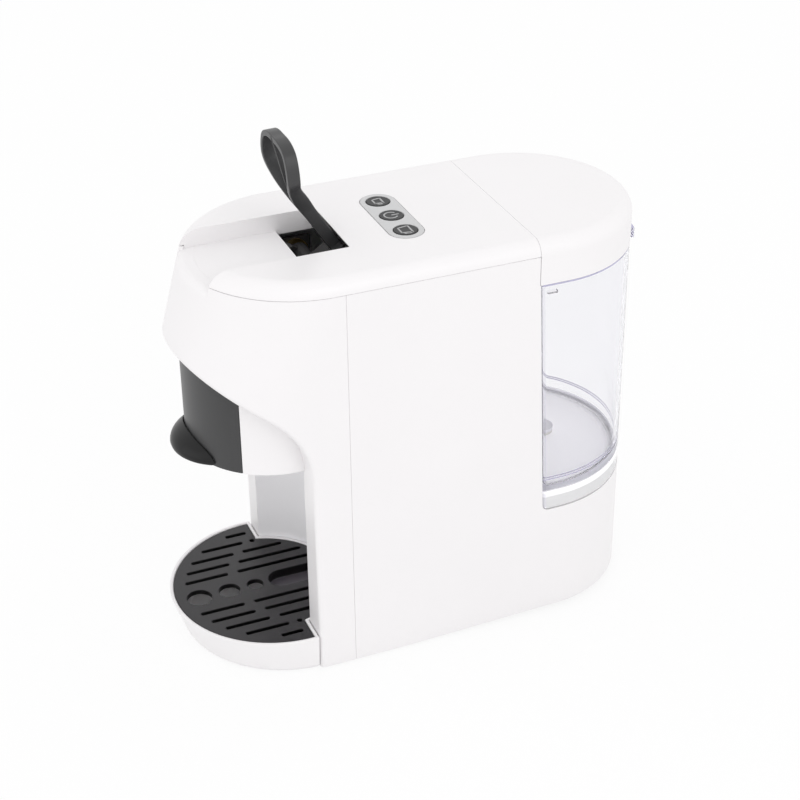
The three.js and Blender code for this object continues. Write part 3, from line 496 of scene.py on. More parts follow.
FINISHES = {
    "white_shell": moulded("white_shell", colour(238, 236, 237), 0.34, grain=0.04, drift=0.012),
    # near-white, lighter than the shell's white: painted light making up for the shade the column stands in
    # under the head
    "column_grey": moulded("column_grey", colour(253, 252, 254), 0.4, grain=0.05),
    "black_satin": moulded("black_satin", colour(56, 56, 57), 0.38, grain=0.08, drift=0.06),
    # the grid's graphite colour, with painted shade on its walls and painted light on its pan floor
    "grid_graphite": shade_painted_grid("grid_graphite", colour(34, 32, 35), 0.33),
    "pad_silver": moulded("pad_silver", colour(200, 200, 201), 0.32, grain=0.04),
    "button_dark": moulded("button_dark", colour(52, 52, 53), 0.5, grain=0.15, drift=0.05),
    # clear tank, with a painted glow of light on its floor
    "clear_tank": clear_plastic("clear_tank", (0.985, 0.984, 0.992, 1.0), 0.03, 1.12),
    "dark_frame": moulded("dark_frame", colour(38, 37, 38), 0.55, grain=0.3, drift=0.1),
    "light_frame": moulded("light_frame", colour(216, 215, 210), 0.5, grain=0.15),
    "foot_rubber": moulded("foot_rubber", colour(34, 34, 34), 0.85, grain=0.5, drift=0.12),
    "silicone": moulded("silicone", colour(222, 220, 214), 0.5, grain=0.1),
    "steel": brushed("steel", (0.56, 0.57, 0.58, 1.0), 0.3),
    "brass": brushed("brass", (0.6, 0.44, 0.17, 1.0), 0.32),
    "coil_frame": moulded("coil_frame", colour(62, 52, 46), 0.5, grain=0.3, drift=0.2),
    "alloy": moulded("alloy", (0.52, 0.53, 0.54, 1.0), 0.5, grain=0.5, drift=0.1, metallic=1.0),
    "circuit_board": moulded("circuit_board", colour(32, 84, 54), 0.45, grain=0.2, drift=0.15),
}
# the tab's own black satin, painted darker than the drawer panel's black as painted shade on its
# downward-facing surface
TAB_SATIN_SHADED = moulded("tab_satin_painted_shade", colour(21, 21, 22), 0.3, grain=0.05, drift=0.06)
TAB_SATIN_SHADED.node_tree.nodes["Principled BSDF"].inputs["Specular IOR Level"].default_value = 0.3
ICON_INK = moulded("icon_ink", colour(172, 172, 173), 0.5, grain=0.05)
VALVE_WHITE = moulded("valve_white", colour(236, 235, 240), 0.4, grain=0.05)


# ---------- outlines of the body ----------
def front_centre(z):
    """Where the head's front arc has its centre at a height."""
    return FRONT_Y - FRONT_LEAN * (TOP_Z - z)


def cover_outline(inset, z):
    half = HALF_W - inset
    centre = front_centre(z)
    back = LID_Y - LID_SEAM / 2
    return (line((half, back), (half, centre), 8) + arc(0, centre, half, 0, -pi, 72)[:-1]
            + line((-half, centre), (-half, back), 8) + [(-half, back)])


def lid_outline(inset, z):
    half = HALF_W - inset
    front = LID_Y + LID_SEAM / 2
    return (line((half, front), (half, REAR_Y), 3) + arc(0, REAR_Y, half, 0, pi, 72)[:-1]
            + line((-half, REAR_Y), (-half, front), 3) + [(-half, front)])


def edge_layers(start_z, radius, inset=0.0, steps=9):
    """(inset, z) layers up a wall and over its rounded top edge."""
    centre = TOP_Z - inset - radius
    first = asin(max(0.0, min(1.0, (start_z - centre) / radius)))
    layers = [] if first > 0 else [(inset, start_z)]
    for i in range(steps + 1):
        angle = first + (pi / 2 - first) * i / steps
        layers.append((inset + radius * (1 - cos(angle)), centre + radius * sin(angle)))
    return layers


def capsule(half, front, rear, steps=72):
    """Plan with a flat front edge and a round rear."""
    return arc(0, rear, half, 0, pi, steps) + [(-half, front), (half, front)]


def neck_plan(radius, back, steps=72):
    return arc(0, NECK_Y, radius, pi, 2 * pi, steps) + [(radius, back), (-radius, back)]


def under_point(way):
    """A point (y, z) of the head's side profile, by its length from the foot of the cheeks."""
    upright_way = UNDER_Z - CASING_FOOT
    arc_way = UNDER_R * UNDER_TURN
    if way <= upright_way:
        return CHEEK_Y, CASING_FOOT + way
    centre = CHEEK_Y - UNDER_R
    turn = min(way - upright_way, arc_way) / UNDER_R
    y, z = centre + UNDER_R * cos(turn), UNDER_Z + UNDER_R * sin(turn)
    over = max(0.0, way - upright_way - arc_way) / sqrt(1 + UNDER_SLOPE ** 2)
    return y - over, z + over * UNDER_SLOPE


def under_way(y):
    """The length along that profile at which it reaches y, in front of the cheeks."""
    centre = CHEEK_Y - UNDER_R
    turn = min(UNDER_TURN, asin(sqrt(max(0.0, 1 - min(1.0, max(-1.0, (y - centre) / UNDER_R)) ** 2))))
    way = UNDER_Z - CASING_FOOT + UNDER_R * turn
    slope_start = centre + UNDER_R * cos(UNDER_TURN)
    return way + max(0.0, slope_start - y) * sqrt(1 + UNDER_SLOPE ** 2)


def under_outline(grow):
    """Side outline (y, z) of what lies under the head, grown upwards."""
    radius = UNDER_R + grow
    centre = CHEEK_Y - UNDER_R
    top = arc(centre, UNDER_Z, radius, 0, UNDER_TURN, 24)
    reach = -220.0
    return [(reach, -10.0), (centre + radius, -10.0)] + top + [
        (reach, top[-1][1] + UNDER_SLOPE * (top[-1][0] - reach))]


# ---------- front casing ----------
def wall_point(way, z):
    """A point on the head's outer wall: way is measured forwards from the side seam."""
    centre = front_centre(z)
    straight = SEAM_Y - SEAM / 2 - centre
    if way <= straight:
        return HALF_W, SEAM_Y - SEAM / 2 - way, z
    angle = (way - straight) / HALF_W
    return HALF_W * cos(angle), centre - HALF_W * sin(angle), z


def wall_way(y, z, angle=None):
    centre = front_centre(z)
    straight = SEAM_Y - SEAM / 2 - centre
    if angle is None:
        angle = asin(max(0.0, min(1.0, (centre - y) / HALF_W)))
        if angle == 0.0:
            return SEAM_Y - SEAM / 2 - y
    return straight + HALF_W * angle


def head_columns():
    """Columns of the head's surface: each one's top end, its end on the crease (both as the way
    round the wall and the height), and the crease's own way along the side profile."""
    upright_way = UNDER_Z - CASING_FOOT
    arc_way = UNDER_R * UNDER_TURN
    shoulder = CHANNEL_Z - LIP_R
    cheek_steps, arc_steps, corner = 14, 22, 14
    columns = []
    for i in range(cheek_steps):
        rise = upright_way * i / cheek_steps
        z = CASING_FOOT + rise
        columns.append(((0.0, z), (wall_way(CHEEK_Y, z), z), rise))
    slope_y, slope_z = under_point(upright_way + arc_way)
    first_angle = asin((front_centre(slope_z) - slope_y) / HALF_W)
    top_way = wall_way(0, shoulder, first_angle)
    for i in range(arc_steps):
        way = upright_way + arc_way * i / arc_steps
        y, z = under_point(way)
        if i <= corner:
            top = (0.0, UNDER_Z + (shoulder - UNDER_Z) * i / corner)
        else:
            top = (top_way * (i - corner) / (arc_steps - corner), shoulder)
        columns.append((top, (wall_way(y, z), z), way))
    at_channel = acos(SLOT_HALF / HALF_W)
    angles = [first_angle + (at_channel - first_angle) * i / 15 for i in range(15)]
    angles += [at_channel + (pi / 2 - at_channel) * i / 11 for i in range(12)]
    for angle in angles:
        over = (HALF_W * sin(angle) - (front_centre(slope_z) - slope_y)) / (1 + FRONT_LEAN * UNDER_SLOPE)
        z = slope_z + UNDER_SLOPE * over
        way = upright_way + arc_way + over * sqrt(1 + UNDER_SLOPE ** 2)
        columns.append(((wall_way(0, shoulder, angle), shoulder), (wall_way(0, z, angle), z), way))
    return columns


def lip_rows(top_row):
    """The wall above the head's shoulder: straight outside the channel, rolled over inside it."""
    shoulder = CHANNEL_Z - LIP_R
    level = [point for point in top_row if abs(point[2] - shoulder) < 1e-6]
    sides = [point for point in level if point[0] > SLOT_HALF - 1e-6]
    lip = [point for point in level if point[0] < SLOT_HALF + 1e-6]
    rise = CASING_TOP - shoulder
    centre = front_centre(shoulder)
    upright_rows = []
    for share in (0.0, 0.5, 1.0):
        row = []
        for x, y, z in sides:
            lean = FRONT_LEAN * rise * share if y < centre else 0.0
            row.append((x, y + lean, z + rise * share))
        upright_rows.append(row)
    rolled = []
    for i in range(9):
        angle = pi / 2 * i / 8
        inset = LIP_R * (1 - cos(angle))
        z = shoulder + LIP_R * sin(angle)
        rolled.append([lip_point(point[0], z, inset) for point in lip])
    rolled.append([lip_point(point[0], CHANNEL_Z, LIP_DEEP) for point in lip])
    return upright_rows, rolled


def lip_point(x, z, inset):
    """A point of the lip, moved in from the wall along the channel."""
    angle = asin(min(1.0, x / HALF_W))
    drop = HALF_W * (1 - cos(angle))
    return x, front_centre(z) - HALF_W + drop + inset, z


def head_shell():
    columns = head_columns()
    outside = [0.0, 0.1, 0.2, 0.3, 0.4, 0.5, 0.6, 0.7, 0.78]
    underneath = [0.42, 0.6, 0.8, 1.0]
    rows = []
    for share in outside + [1.0]:
        row = []
        for (top_way, top_z), (crease_way, crease_z), _ in columns:
            way = top_way + (crease_way - top_way) * share
            row.append(wall_point(way, top_z + (crease_z - top_z) * share))
        rows.append(row)
    crease = rows[-1]
    for share in underneath:
        row = []
        for (x, y, z), (_, _, way) in zip(crease, columns):
            inner_x, inner_y = neck_edge(x, y)
            if z < UNDER_Z:
                row.append((x + (COLUMN_EDGE - x) * share, y, z))
                continue
            blend = way + (under_way(inner_y) - way) * share
            under_y, under_z = under_point(blend)
            row.append((x + (inner_x - x) * share, under_y, under_z))
        rows.append(row)
    bm = bmesh.new()
    skin(bm, rows, closed=False)
    upright_rows, rolled = lip_rows(rows[0])
    skin(bm, upright_rows, closed=False)
    skin(bm, rolled, closed=False)
    for vert in bm.verts:
        if abs(vert.co.x) < 1e-3:
            vert.co.x = 0.0
    bmesh.ops.remove_doubles(bm, verts=bm.verts, dist=2e-3)
    on_crease = {tuple(round(c, 2) for c in point) for point in crease}
    bmesh.ops.mirror(bm, geom=bm.verts[:] + bm.edges[:] + bm.faces[:], merge_dist=1e-3, axis="X")
    bmesh.ops.remove_doubles(bm, verts=bm.verts, dist=1e-3)
    bmesh.ops.recalc_face_normals(bm, faces=bm.faces)
    edges = [edge for edge in bm.edges if all(
        (round(abs(v.co.x), 2), round(v.co.y, 2), round(v.co.z, 2)) in on_crease for v in edge.verts)]
    bmesh.ops.bevel(bm, geom=edges, offset=2.6, offset_type="OFFSET", affect="EDGES", segments=6,
                    profile=0.5, material=-1)
    return thickened(bm, WALL)


def neck_edge(x, y):
    """Where the underside runs in under the lower head's wall, seen from a point of the crease."""
    radius = NECK_R - 1.4
    angle = atan2(NECK_Y - y, x)
    if angle <= 0:
        return radius, y
    return radius * cos(angle), NECK_Y - radius * sin(angle)


def lower_head():
    top = 180.0
    shell = cut(
        upright(neck_plan(NECK_R, -40.0), NECK_Z, top),
        upright(neck_plan(NECK_R - WALL, -10.0), NECK_Z + WALL, top + 20),
        block(-PANEL_HALF - 0.35, PANEL_HALF + 0.35, -150, -90, NECK_Z - 2, top + 20),
        block(-SPOUT_HALF, SPOUT_HALF, -150, -62, NECK_Z - 2, NECK_Z + WALL + 1))
    sill = common(
        upright(neck_plan(NECK_R - 3.3, -60.0), NECK_Z, NECK_Z + WALL),
        block(-PANEL_HALF - 0.3, PANEL_HALF + 0.3, -150, -89.9, NECK_Z - 2, NECK_Z + 10))
    sill = cut(sill, block(-SPOUT_HALF, SPOUT_HALF, -150, -62, NECK_Z - 2, NECK_Z + 12))
    return merge(shell, sill)


def front_casing():
    piece("front_shell", merge(head_shell(), lower_head()), FINISHES["white_shell"], "root",
          ["front_casing"], edge=0.35)


# ---------- rear casing ----------
def bay_outline(grow):
    rim = LID_Y - 0.2 - grow
    shelf = tank_low.z - 0.4 - grow
    ledge = TANK_Y - 0.25 - grow
    foot = ledge + TANK_LEAN * (TANK_RIM - shelf)
    corner = arc(foot + 4.0, shelf + 4.0, 4.0, pi, 1.5 * pi, 6)
    return corner + [(160, shelf), (160, 260), (rim, 260), (rim, TANK_RIM + 0.2),
                     (ledge, TANK_RIM + 0.2)]


def rear_casing():
    front = SEAM_Y + SEAM / 2
    outer = upright(capsule(HALF_W, front, REAR_Y, 96), CASING_FOOT, CASING_TOP)
    tongue = upright(
        capsule(HALF_W - 0.35, front - SEAM, front + 5, 8), CASING_FOOT + 0.2, CASING_TOP - 0.2)
    tongue = common(tongue, block(-ACROSS, ACROSS, front - SEAM, front + 3, -5, 260))
    outer = joined(outer, tongue)
    inner = upright(capsule(HALF_W - WALL, front - 20, REAR_Y, 96), CASING_FOOT - 10, TOP_Z)
    inner = cut(inner, sideways(bay_outline(WALL), -ACROSS, ACROSS))
    rise = sideways(
        [(-60, -5), (140, -5), (140, 4.0), (70, 3.6), (-20, CASING_FOOT), (-60, CASING_FOOT)],
        -ACROSS, ACROSS)
    outlet = disc(0, VALVE_Y, 11, 50, 80)
    gland = extruded([(x, 100, z + 20) for x, z in arc(0, 0, 6.5, 0, 2 * pi, 32)[:-1]], (0, 60, 0))
    shell = cut(outer, sideways(bay_outline(0), -ACROSS, ACROSS), inner, rise, outlet, gland)
    piece("rear_shell", shell, FINISHES["white_shell"], "root", ["rear_casing"], edge=0.45)


def column_panel():
    edge_y = CHEEK_Y + 0.15
    reach = asin((edge_y - COLUMN_Y) / COLUMN_R)
    path = arc(0, COLUMN_Y, COLUMN_R, reach, pi - reach, 48)
    bm = bmesh.new()
    skin(bm, [[(x, y, z) for x, y in path] for z in (CASING_FOOT, 40, 80, NECK_Z - 0.3)], closed=False)
    bmesh.ops.recalc_face_normals(bm, faces=bm.faces)
    inward = next(face for face in bm.faces if abs(face.calc_center_median().x) < 2)
    if inward.normal.y > 0:
        bmesh.ops.reverse_faces(bm, faces=bm.faces)
    item = stand_in(bm)
    wall = item.modifiers.new("wall", "SOLIDIFY")
    wall.thickness = 2.0
    wall.offset = -1
    shell = cut(evaluated(item), block(-15.5, 15.5, -60, -20, -5, 6.2))
    piece("column_back", shell, FINISHES["column_grey"], "root", ["column_panel"], edge=0.2)


# ---------- covers ----------
def pill(radius, half):
    right = arc(half, BUTTON_Y, radius, -pi / 2, pi / 2, 24)
    return right + arc(-half, BUTTON_Y, radius, pi / 2, 1.5 * pi, 24)


def button_places():
    return [i * BUTTON_PITCH for i in (-1, 0, 1)]


def button_ways(gap):
    """Holes for the three buttons, through the cover and the pad."""
    return [disc(x, BUTTON_Y, BUTTON_R + gap, 215, 245, 48) for x in button_places()]


def top_cover():
    tongue = [(0.4, CASING_TOP), (0.4, CASING_TOP + SEAM)]
    outer = stack(tongue + edge_layers(CASING_TOP + SEAM, EDGE_R), cover_outline)
    inner = stack(edge_layers(CASING_TOP - 20, EDGE_R - SKIN, SKIN), cover_outline)
    inner = cut(inner, block(-ACROSS, ACROSS, LID_Y - SEAM - SKIN, 90, 100, 300))
    shell = cut(outer, inner)
    plan = stack(
        [(2.5, CHANNEL_Z - 2.0), (2.5, CASING_TOP)] + edge_layers(CASING_TOP + SEAM, EDGE_R, 0.02),
        cover_outline)
    trough = common(plan, block(-SLOT_HALF - 2, SLOT_HALF + 2, -160, SLOT_REAR + 2, 200, 250))
    shell = cut(
        joined(shell, trough),
        block(-SLOT_HALF, SLOT_HALF, -160, SLOT_REAR, 200, 260),
        sideways([(SLOT_REAR - 1, TOP_Z - 0.4), (SLOT_REAR, TOP_Z - 0.4), (SLOT_REAR + 4.1, TOP_Z - 4.5),
                  (SLOT_REAR + 4.1, 200), (SLOT_REAR - 1, 200)], -SLOT_HALF, SLOT_HALF),
        upright(pill(PAD_R + 0.25, PAD_HALF), TOP_Z - 1.2, 260), *button_ways(0.5))
    piece("top_shell", shell, FINISHES["white_shell"], "root", ["top_cover"], segments=3)
    half = SLOT_HALF
    front = [lip_point(half * i / 12, CHANNEL_Z, LIP_DEEP)[:2] for i in range(13)]
    floor_plan = [(half, SLOT_FRONT)] + front[::-1] + [(-x, y) for x, y in front[1:]] + [(-half, SLOT_FRONT)]
    channel_floor = upright(floor_plan, CHANNEL_Z - 2.0, CHANNEL_Z)
    piece("channel_floor", channel_floor, FINISHES["white_shell"], "root", [], edge=0.0)


def tank_lid():
    outer = stack(edge_layers(LID_Z, EDGE_R), lid_outline)
    inner = stack(edge_layers(LID_Z - 20, EDGE_R - SKIN, SKIN), lid_outline)
    inner = cut(inner, block(-ACROSS, ACROSS, 0, LID_Y + SEAM + SKIN, 100, 300))
    shell = cut(outer, inner)
    piece("lid_shell", shell, FINISHES["white_shell"], "lid", ["tank_lid"], segments=3)


# ---------- buttons ----------
def button_pad():
    plate = cut(upright(pill(PAD_R - 0.05, PAD_HALF), pad_low.z, pad_high.z), *button_ways(0.35))
    piece("pad_plate", plate, FINISHES["pad_silver"], "root", ["button_pad"], edge=0.35,
          segments=3)


def ribbon(path, width):
    """A flat stroke along a path of (x, y) points, as an outline."""
    points = [Vector(p) for p in path]
    left, right = [], []
    for i, point in enumerate(points):
        before, after = points[max(i - 1, 0)], points[min(i + 1, len(points) - 1)]
        across = (after - before).normalized().orthogonal() * width / 2
        left.append(tuple(point + across))
        right.append(tuple(point - across))
    return left + right[::-1]


def icon_strokes(kind):
    if kind == "power":
        gap = radians(36)
        ring = arc(0, -0.4, 3.5, pi / 2 + gap, 2.5 * pi - gap, 32)
        return [ribbon(ring, 0.8), ribbon([(0, 0.0), (0, 4.0)], 0.8)]
    size = 1.2 if kind == "small_cup" else 1.5
    top, low = 1.7 * size, -2.1 * size
    wide, narrow = 2.6 * size, 1.9 * size
    stroke = 0.85
    handle = arc(wide - 0.5, 0.0, 1.25 * size, -pi / 2, pi / 2, 10)
    return [
        ribbon([(-wide, top), (-narrow, low)], stroke), ribbon([(wide, top), (narrow, low)], stroke),
        ribbon([(-wide - 0.25, top), (wide + 0.25, top)], stroke),
        ribbon([(-narrow - 0.25, low), (narrow + 0.25, low)], stroke),
        ribbon(handle, stroke * 0.9)]


def buttons():
    names = ("small_cup", "power", "large_cup")
    for x, name in zip(button_places(), names):
        low, high = extent(f"button_{name}")
        top = high.z - 0.35                 # the cap's rim is a little lower than the frame's button
        cap = turned([
            (0, low.z), (2.4, low.z), (2.4, low.z + 1.6), (BUTTON_R, low.z + 1.6), (BUTTON_R, top - 0.5),
            (BUTTON_R - 0.15, top - 0.15), (BUTTON_R - 0.5, top), (BUTTON_R - 1.4, top - 0.12),
            (0, top - 0.2)], x, BUTTON_Y)
        body = f"{name}_button"
        piece(f"{name}_cap", cap, FINISHES["button_dark"], body, [f"button_{name}"], edge=0.0)
        strokes = [upright([(x + u, BUTTON_Y + v) for u, v in outline], top - 0.4, top - 0.08)
                   for outline in icon_strokes(name)]
        piece(f"{name}_icon", merge(*strokes), ICON_INK, body, [], edge=0.0)


# ---------- drip tray and grid ----------
def tray_outline(inset, z):
    drop = tray_high.z - z
    radius = TRAY_R - inset - TRAY_TAPER * drop
    centre = BREW_Y + TRAY_DRAFT * drop
    back = CHEEK_Y - 0.5 - inset
    column = COLUMN_R - 0.3 - inset
    corner = sqrt(column ** 2 - (back - COLUMN_Y) ** 2)
    start = asin((back - centre) / radius)
    reach = asin((back - COLUMN_Y) / column)
    outer_x = radius * cos(start)
    return (arc(0, centre, radius, start, -pi - start, 96) + line((-outer_x, back), (-corner, back), 6)[1:]
            + arc(0, COLUMN_Y, column, pi - reach, reach, 40) + line((corner, back), (outer_x, back), 6)[1:])


def foot_layers(radius, low, steps=5):
    """Round in the foot of a wall."""
    layers = []
    for i in range(steps + 1):
        angle = pi / 2 * i / steps
        layers.append((radius * (1 - sin(angle)), low + radius * (1 - cos(angle))))
    return layers


def drip_tray():
    rim = tray_high.z
    seat = grid_high.z - 3.3
    layers = foot_layers(3.0, 0.6) + [(0, 10), (0, 16), (0, rim - 0.5), (0.15, rim - 0.15), (0.5, rim)]
    inside = [(-0.5, rim), (-0.15, rim - 0.15), (0.0, rim - 0.5), (0.0, seat), (1.4, seat), (1.4, 8.0),
              (2.0, 5.6), (3.4, 4.4)]
    layers += [(TRAY_WALL + inset, z) for inset, z in inside]
    tray = stack(layers, tray_outline)
    hump = common(block(-17.5, 17.5, -92, -36, 2, 8.6), stack([(1.0, 1.0), (1.0, 20.0)], tray_outline))
    tray = cut(joined(tray, hump), block(-15, 15, -90, 0, -5, 6))
    piece("tray_body", tray, FINISHES["white_shell"], "tray", ["drip_tray"], edge=0.25)


def slot_outline(x, front, rear, width):
    half = width / 2
    return arc(x, rear - half, half, 0, pi, 8) + arc(x, front + half, half, pi, 2 * pi, 8)


def drip_grid():
    plate = stack([(TRAY_WALL + 0.25, grid_high.z - 3.0), (TRAY_WALL + 0.25, grid_high.z)], tray_outline)
    pan = upright(slot_outline(0, -81, -43.5, 19), grid_low.z, grid_high.z - 1)
    through = [disc(0, y, radius, 0, 40) for y, radius in ((-119.5, 7.0), (-102.1, 6.0), (-87.1, 4.6))]
    through += [disc(side * 40.8, -75.4, 1.5, 0, 40, 16) for side in (-1, 1)]
    runs = [(49.5, -88.8, -76.4), (40.8, -105.9, -81.2), (32.2, -114.5, -89.4), (23.6, -119.8, -94.7),
            (15.0, -123.2, -98.2), (32.2, -84.0, -60.5), (23.6, -89.2, -52.0), (15.0, -92.6, -48.5)]
    for x, front, rear in runs:
        through += [upright(slot_outline(side * x, front, rear, 2.6), 0, 40) for side in (-1, 1)]
    scoop = upright(slot_outline(0, -79, -45.5, 15), grid_low.z + 1.6, 40)
    plate = cut(joined(plate, pan), merge(*through), scoop)
    piece("grid_plate", plate, FINISHES["grid_graphite"], "grid", ["drip_grid"], edge=0.35)


# ---------- capsule drawer front ----------
def drawer_front():
    band = cut(
        upright(neck_plan(NECK_R, -60.0, 96), panel_low.z, 182),
        upright(neck_plan(NECK_R - 3, -30.0, 96), 100, 200))
    band = common(
        band, block(-PANEL_HALF, PANEL_HALF, -150, -90, 100, 200),
        sideways(under_outline(-0.9), -ACROSS, ACROSS))

    def dome(radius, height):
        low, foot = panel_low.z, panel_low.z + 2.0
        edge = [(radius - 2.4, low), (radius - 1.0, low + 0.35), (radius - 0.3, low + 1.0), (radius, foot)]
        angles = [pi / 2 * i / 20 for i in range(1, 20)]
        rise = [(radius * cos(angle), foot + height * sin(angle)) for angle in angles]
        return turned([(0, low)] + edge + rise + [(0, foot + height)], 0, TAB_Y, 120)

    piece("drawer_panel", band, FINISHES["black_satin"], "drawer", ["drawer_front"], edge=0.5,
          segments=3)
    groove = cut(
        upright(neck_plan(NECK_R + 0.8, -60.0, 120), 110, 150), dome(TAB_R - 1.2, TAB_HIGH - 1.4))
    tab = cut(dome(TAB_R, TAB_HIGH), groove, upright(neck_plan(NECK_R - 0.4, -30.0, 120), 100, 200))
    piece("drawer_tab", tab, TAB_SATIN_SHADED, "drawer", [], edge=0.4, segments=3)


# ---------- lever ----------
def stem_point(way):
    """Centre line of the strap as (y, z) and its lean, by the length from the cover's top."""
    step = 0.5
    y, z, lean = STEM_Y, TOP_Z, STEM_LEAN
    straight = min(way, BEND_FROM)
    y -= sin(lean) * straight
    z += cos(lean) * straight
    s = BEND_FROM
    while s < way:
        part = min(step, way - s)
        share = max(0.0, min(1.0, (s + part / 2 - BEND_FROM) / (BEND_TO - BEND_FROM)))
        lean = STEM_LEAN + (LOOP_LEAN - STEM_LEAN) * share * share * (3 - 2 * share)
        y -= sin(lean) * part
        z += cos(lean) * part
        s += step
    return y, z, lean


def smooth_path(points, steps):
    """Catmull-Rom curve through points."""
    pts = [Vector(p) for p in points]
    ends = [pts[0] * 2 - pts[1]] + pts + [pts[-1] * 2 - pts[-2]]
    path = []
    for a, b, c, d in zip(ends, ends[1:], ends[2:], ends[3:]):
        for i in range(steps):
            t = i / steps
            path.append(0.5 * (2 * b + (c - a) * t + (2 * a - 5 * b + 4 * c - d) * t * t
                               + (3 * b - a - 3 * c + d) * t ** 3))
    return path + [pts[-1]]


def lever_strap():
    outer = smooth_path([
        (3.2, STEM_ROOT), (3.2, -12), (3.2, -4), (3.2, 4), (3.5, 10.5), (4.3, 16.5), (6.4, 22), (9.8, 27.8),
        (14.4, 34), (19.0, 39.6), (20.6, 45), (19.6, 51), (16.8, 56), (12.0, LOOP_TOP - 1.2), (6.0, LOOP_TOP),
        (0, LOOP_TOP)], 6)
    inner = []
    for i, point in enumerate(outer):
        along = outer[min(i + 1, len(outer) - 1)] - outer[max(i - 1, 0)]
        inward = Vector((-along.y, along.x)).normalized()
        if i == len(outer) - 1:
            inward = Vector((0, -1))
        moved = point + inward * STRAP_T
        inner.append(moved if moved.x > 0 else Vector((0, min(point.y, 25.0))))
    bm = bmesh.new()
    skin(bm, [[(p.x, p.y, 0) for p in outer], [(p.x, p.y, 0) for p in inner]], closed=False)
    bmesh.ops.remove_doubles(bm, verts=bm.verts, dist=0.02)
    bmesh.ops.mirror(bm, geom=bm.verts[:] + bm.edges[:] + bm.faces[:], merge_dist=1e-2, axis="X")
    bmesh.ops.remove_doubles(bm, verts=bm.verts, dist=1e-2)
    bmesh.ops.recalc_face_normals(bm, faces=bm.faces)
    faces = bm.faces[:]
    lifted = bmesh.ops.extrude_face_region(bm, geom=faces, use_keep_orig=True)
    moved = [item for item in lifted["geom"] if isinstance(item, bmesh.types.BMVert)]
    bmesh.ops.translate(bm, vec=(0, 0, STRAP_B), verts=moved)
    bmesh.ops.recalc_face_normals(bm, faces=bm.faces)
    for vert in bm.verts:
        y, z, lean = stem_point(vert.co.y)
        near = max(0.0, 1 - abs(vert.co.y - SWELL_AT) / SWELL_REACH)
        off = (vert.co.z - STRAP_B / 2) * (1 + SWELL * near * near * (3 - 2 * near))
        vert.co = (vert.co.x, y - off * cos(lean), z - off * sin(lean))
    y, z, _ = stem_point(STEM_ROOT + 4)
    shoe = block(-8, 8, 0.2 - STRAP_B / 2, STRAP_B / 2 - 0.2, -5, 5)
    bmesh.ops.rotate(shoe, cent=(0, 0, 0), matrix=Matrix.Rotation(STEM_LEAN, 3, "X"), verts=shoe.verts)
    bmesh.ops.translate(shoe, vec=(0, y, z), verts=shoe.verts)
    piece("lever_strap", merge(bm, shoe), FINISHES["black_satin"], "lever", ["lever_handle"],
          edge=0.75, segments=4, angle=50)


# ---------- water tank ----------
def tank_outline(inset, z):
    half = TANK_R - inset
    front = TANK_Y + TANK_LEAN * (TANK_RIM - z) + inset
    round_r = max(0.4, 2.4 - inset * 0.5)
    corner = arc(half - round_r, front + round_r, round_r, -pi / 2, 0, 5)
    mirrored = [(-x, y) for x, y in corner[::-1]]
    return (line((-half + round_r, front), (half - round_r, front), 10) + corner
            + line((half, front + round_r), (half, REAR_Y), 3)[1:] + arc(0, REAR_Y, half, 0, pi, 72)
            + line((-half, REAR_Y), (-half, front + round_r), 3)[1:] + mirrored[:-1])


def tank_body():
    rim = TANK_RIM
    layers = [(SKIN, TANK_UNDER), (SKIN, tank_low.z + 0.4), (SKIN - 0.4, tank_low.z), (0.4, tank_low.z),
              (0.0, tank_low.z + 0.4), (0.0, 110.0), (0.0, 150.0), (0.0, rim - 0.5), (0.3, rim - 0.1),
              (0.8, rim), (SKIN - 0.6, rim), (SKIN - 0.1, rim - 0.4), (SKIN, rim - 0.9), (SKIN, 150.0),
              (SKIN, 110.0)]
    for i in range(7):
        angle = pi / 2 * i / 6
        layers.append((SKIN + TANK_FILLET * (1 - cos(angle)), TANK_FLOOR + TANK_FILLET * (1 - sin(angle))))
    foot = TANK_Y + TANK_LEAN * (TANK_RIM - tank_low.z)
    rounding = [(foot - 3.0, tank_low.z - 3.0), (foot + 3.6, tank_low.z - 3.0)]
    rounding += arc(foot + 3.6, tank_low.z + 3.6, 3.6, -pi / 2, -pi, 6) + [(foot - 3.0, tank_low.z + 3.6)]
    wall = cut(stack(layers, tank_outline), sideways(rounding, -ACROSS, ACROSS))
    lug = block(TANK_R - 4.2, TANK_R - 1.5, 60.0, 65.5, 200.5, 202.0)
    wall = joined(wall, lug)
    boss = cut(disc(0, VALVE_Y, 8, 71, TANK_FLOOR - 2), disc(0, VALVE_Y, 5, 60, 100))
    wall = cut(joined(wall, boss), disc(0, VALVE_Y, 5, 60, 100))
    reach = asin(16 / 64)
    ledge = arc(0, REAR_Y, tank_high.y - REAR_Y, pi / 2 - reach, pi / 2 + reach, 16)
    ledge += arc(0, REAR_Y, TANK_R - 1.0, pi / 2 + reach, pi / 2 - reach, 16)
    wall = joined(wall, upright(ledge, 200.6, 206.4))
    piece("tank_shell", wall, FINISHES["clear_tank"], "tank", ["water_tank"], edge=0.3)


# ---------- camera, light and floor ----------
SENSOR = 36.0
LENS = 81.99
CAMERA_PLACE = (793.8, -320.5, 627.9)
CAMERA_YAW = radians(67.93)
CAMERA_PITCH = radians(30.65)
CAMERA_ROLL = radians(-0.65)
AMBIENT = 1.0
FLOOR_GLOW = 0.88                   # how white the floor looks past its shadows


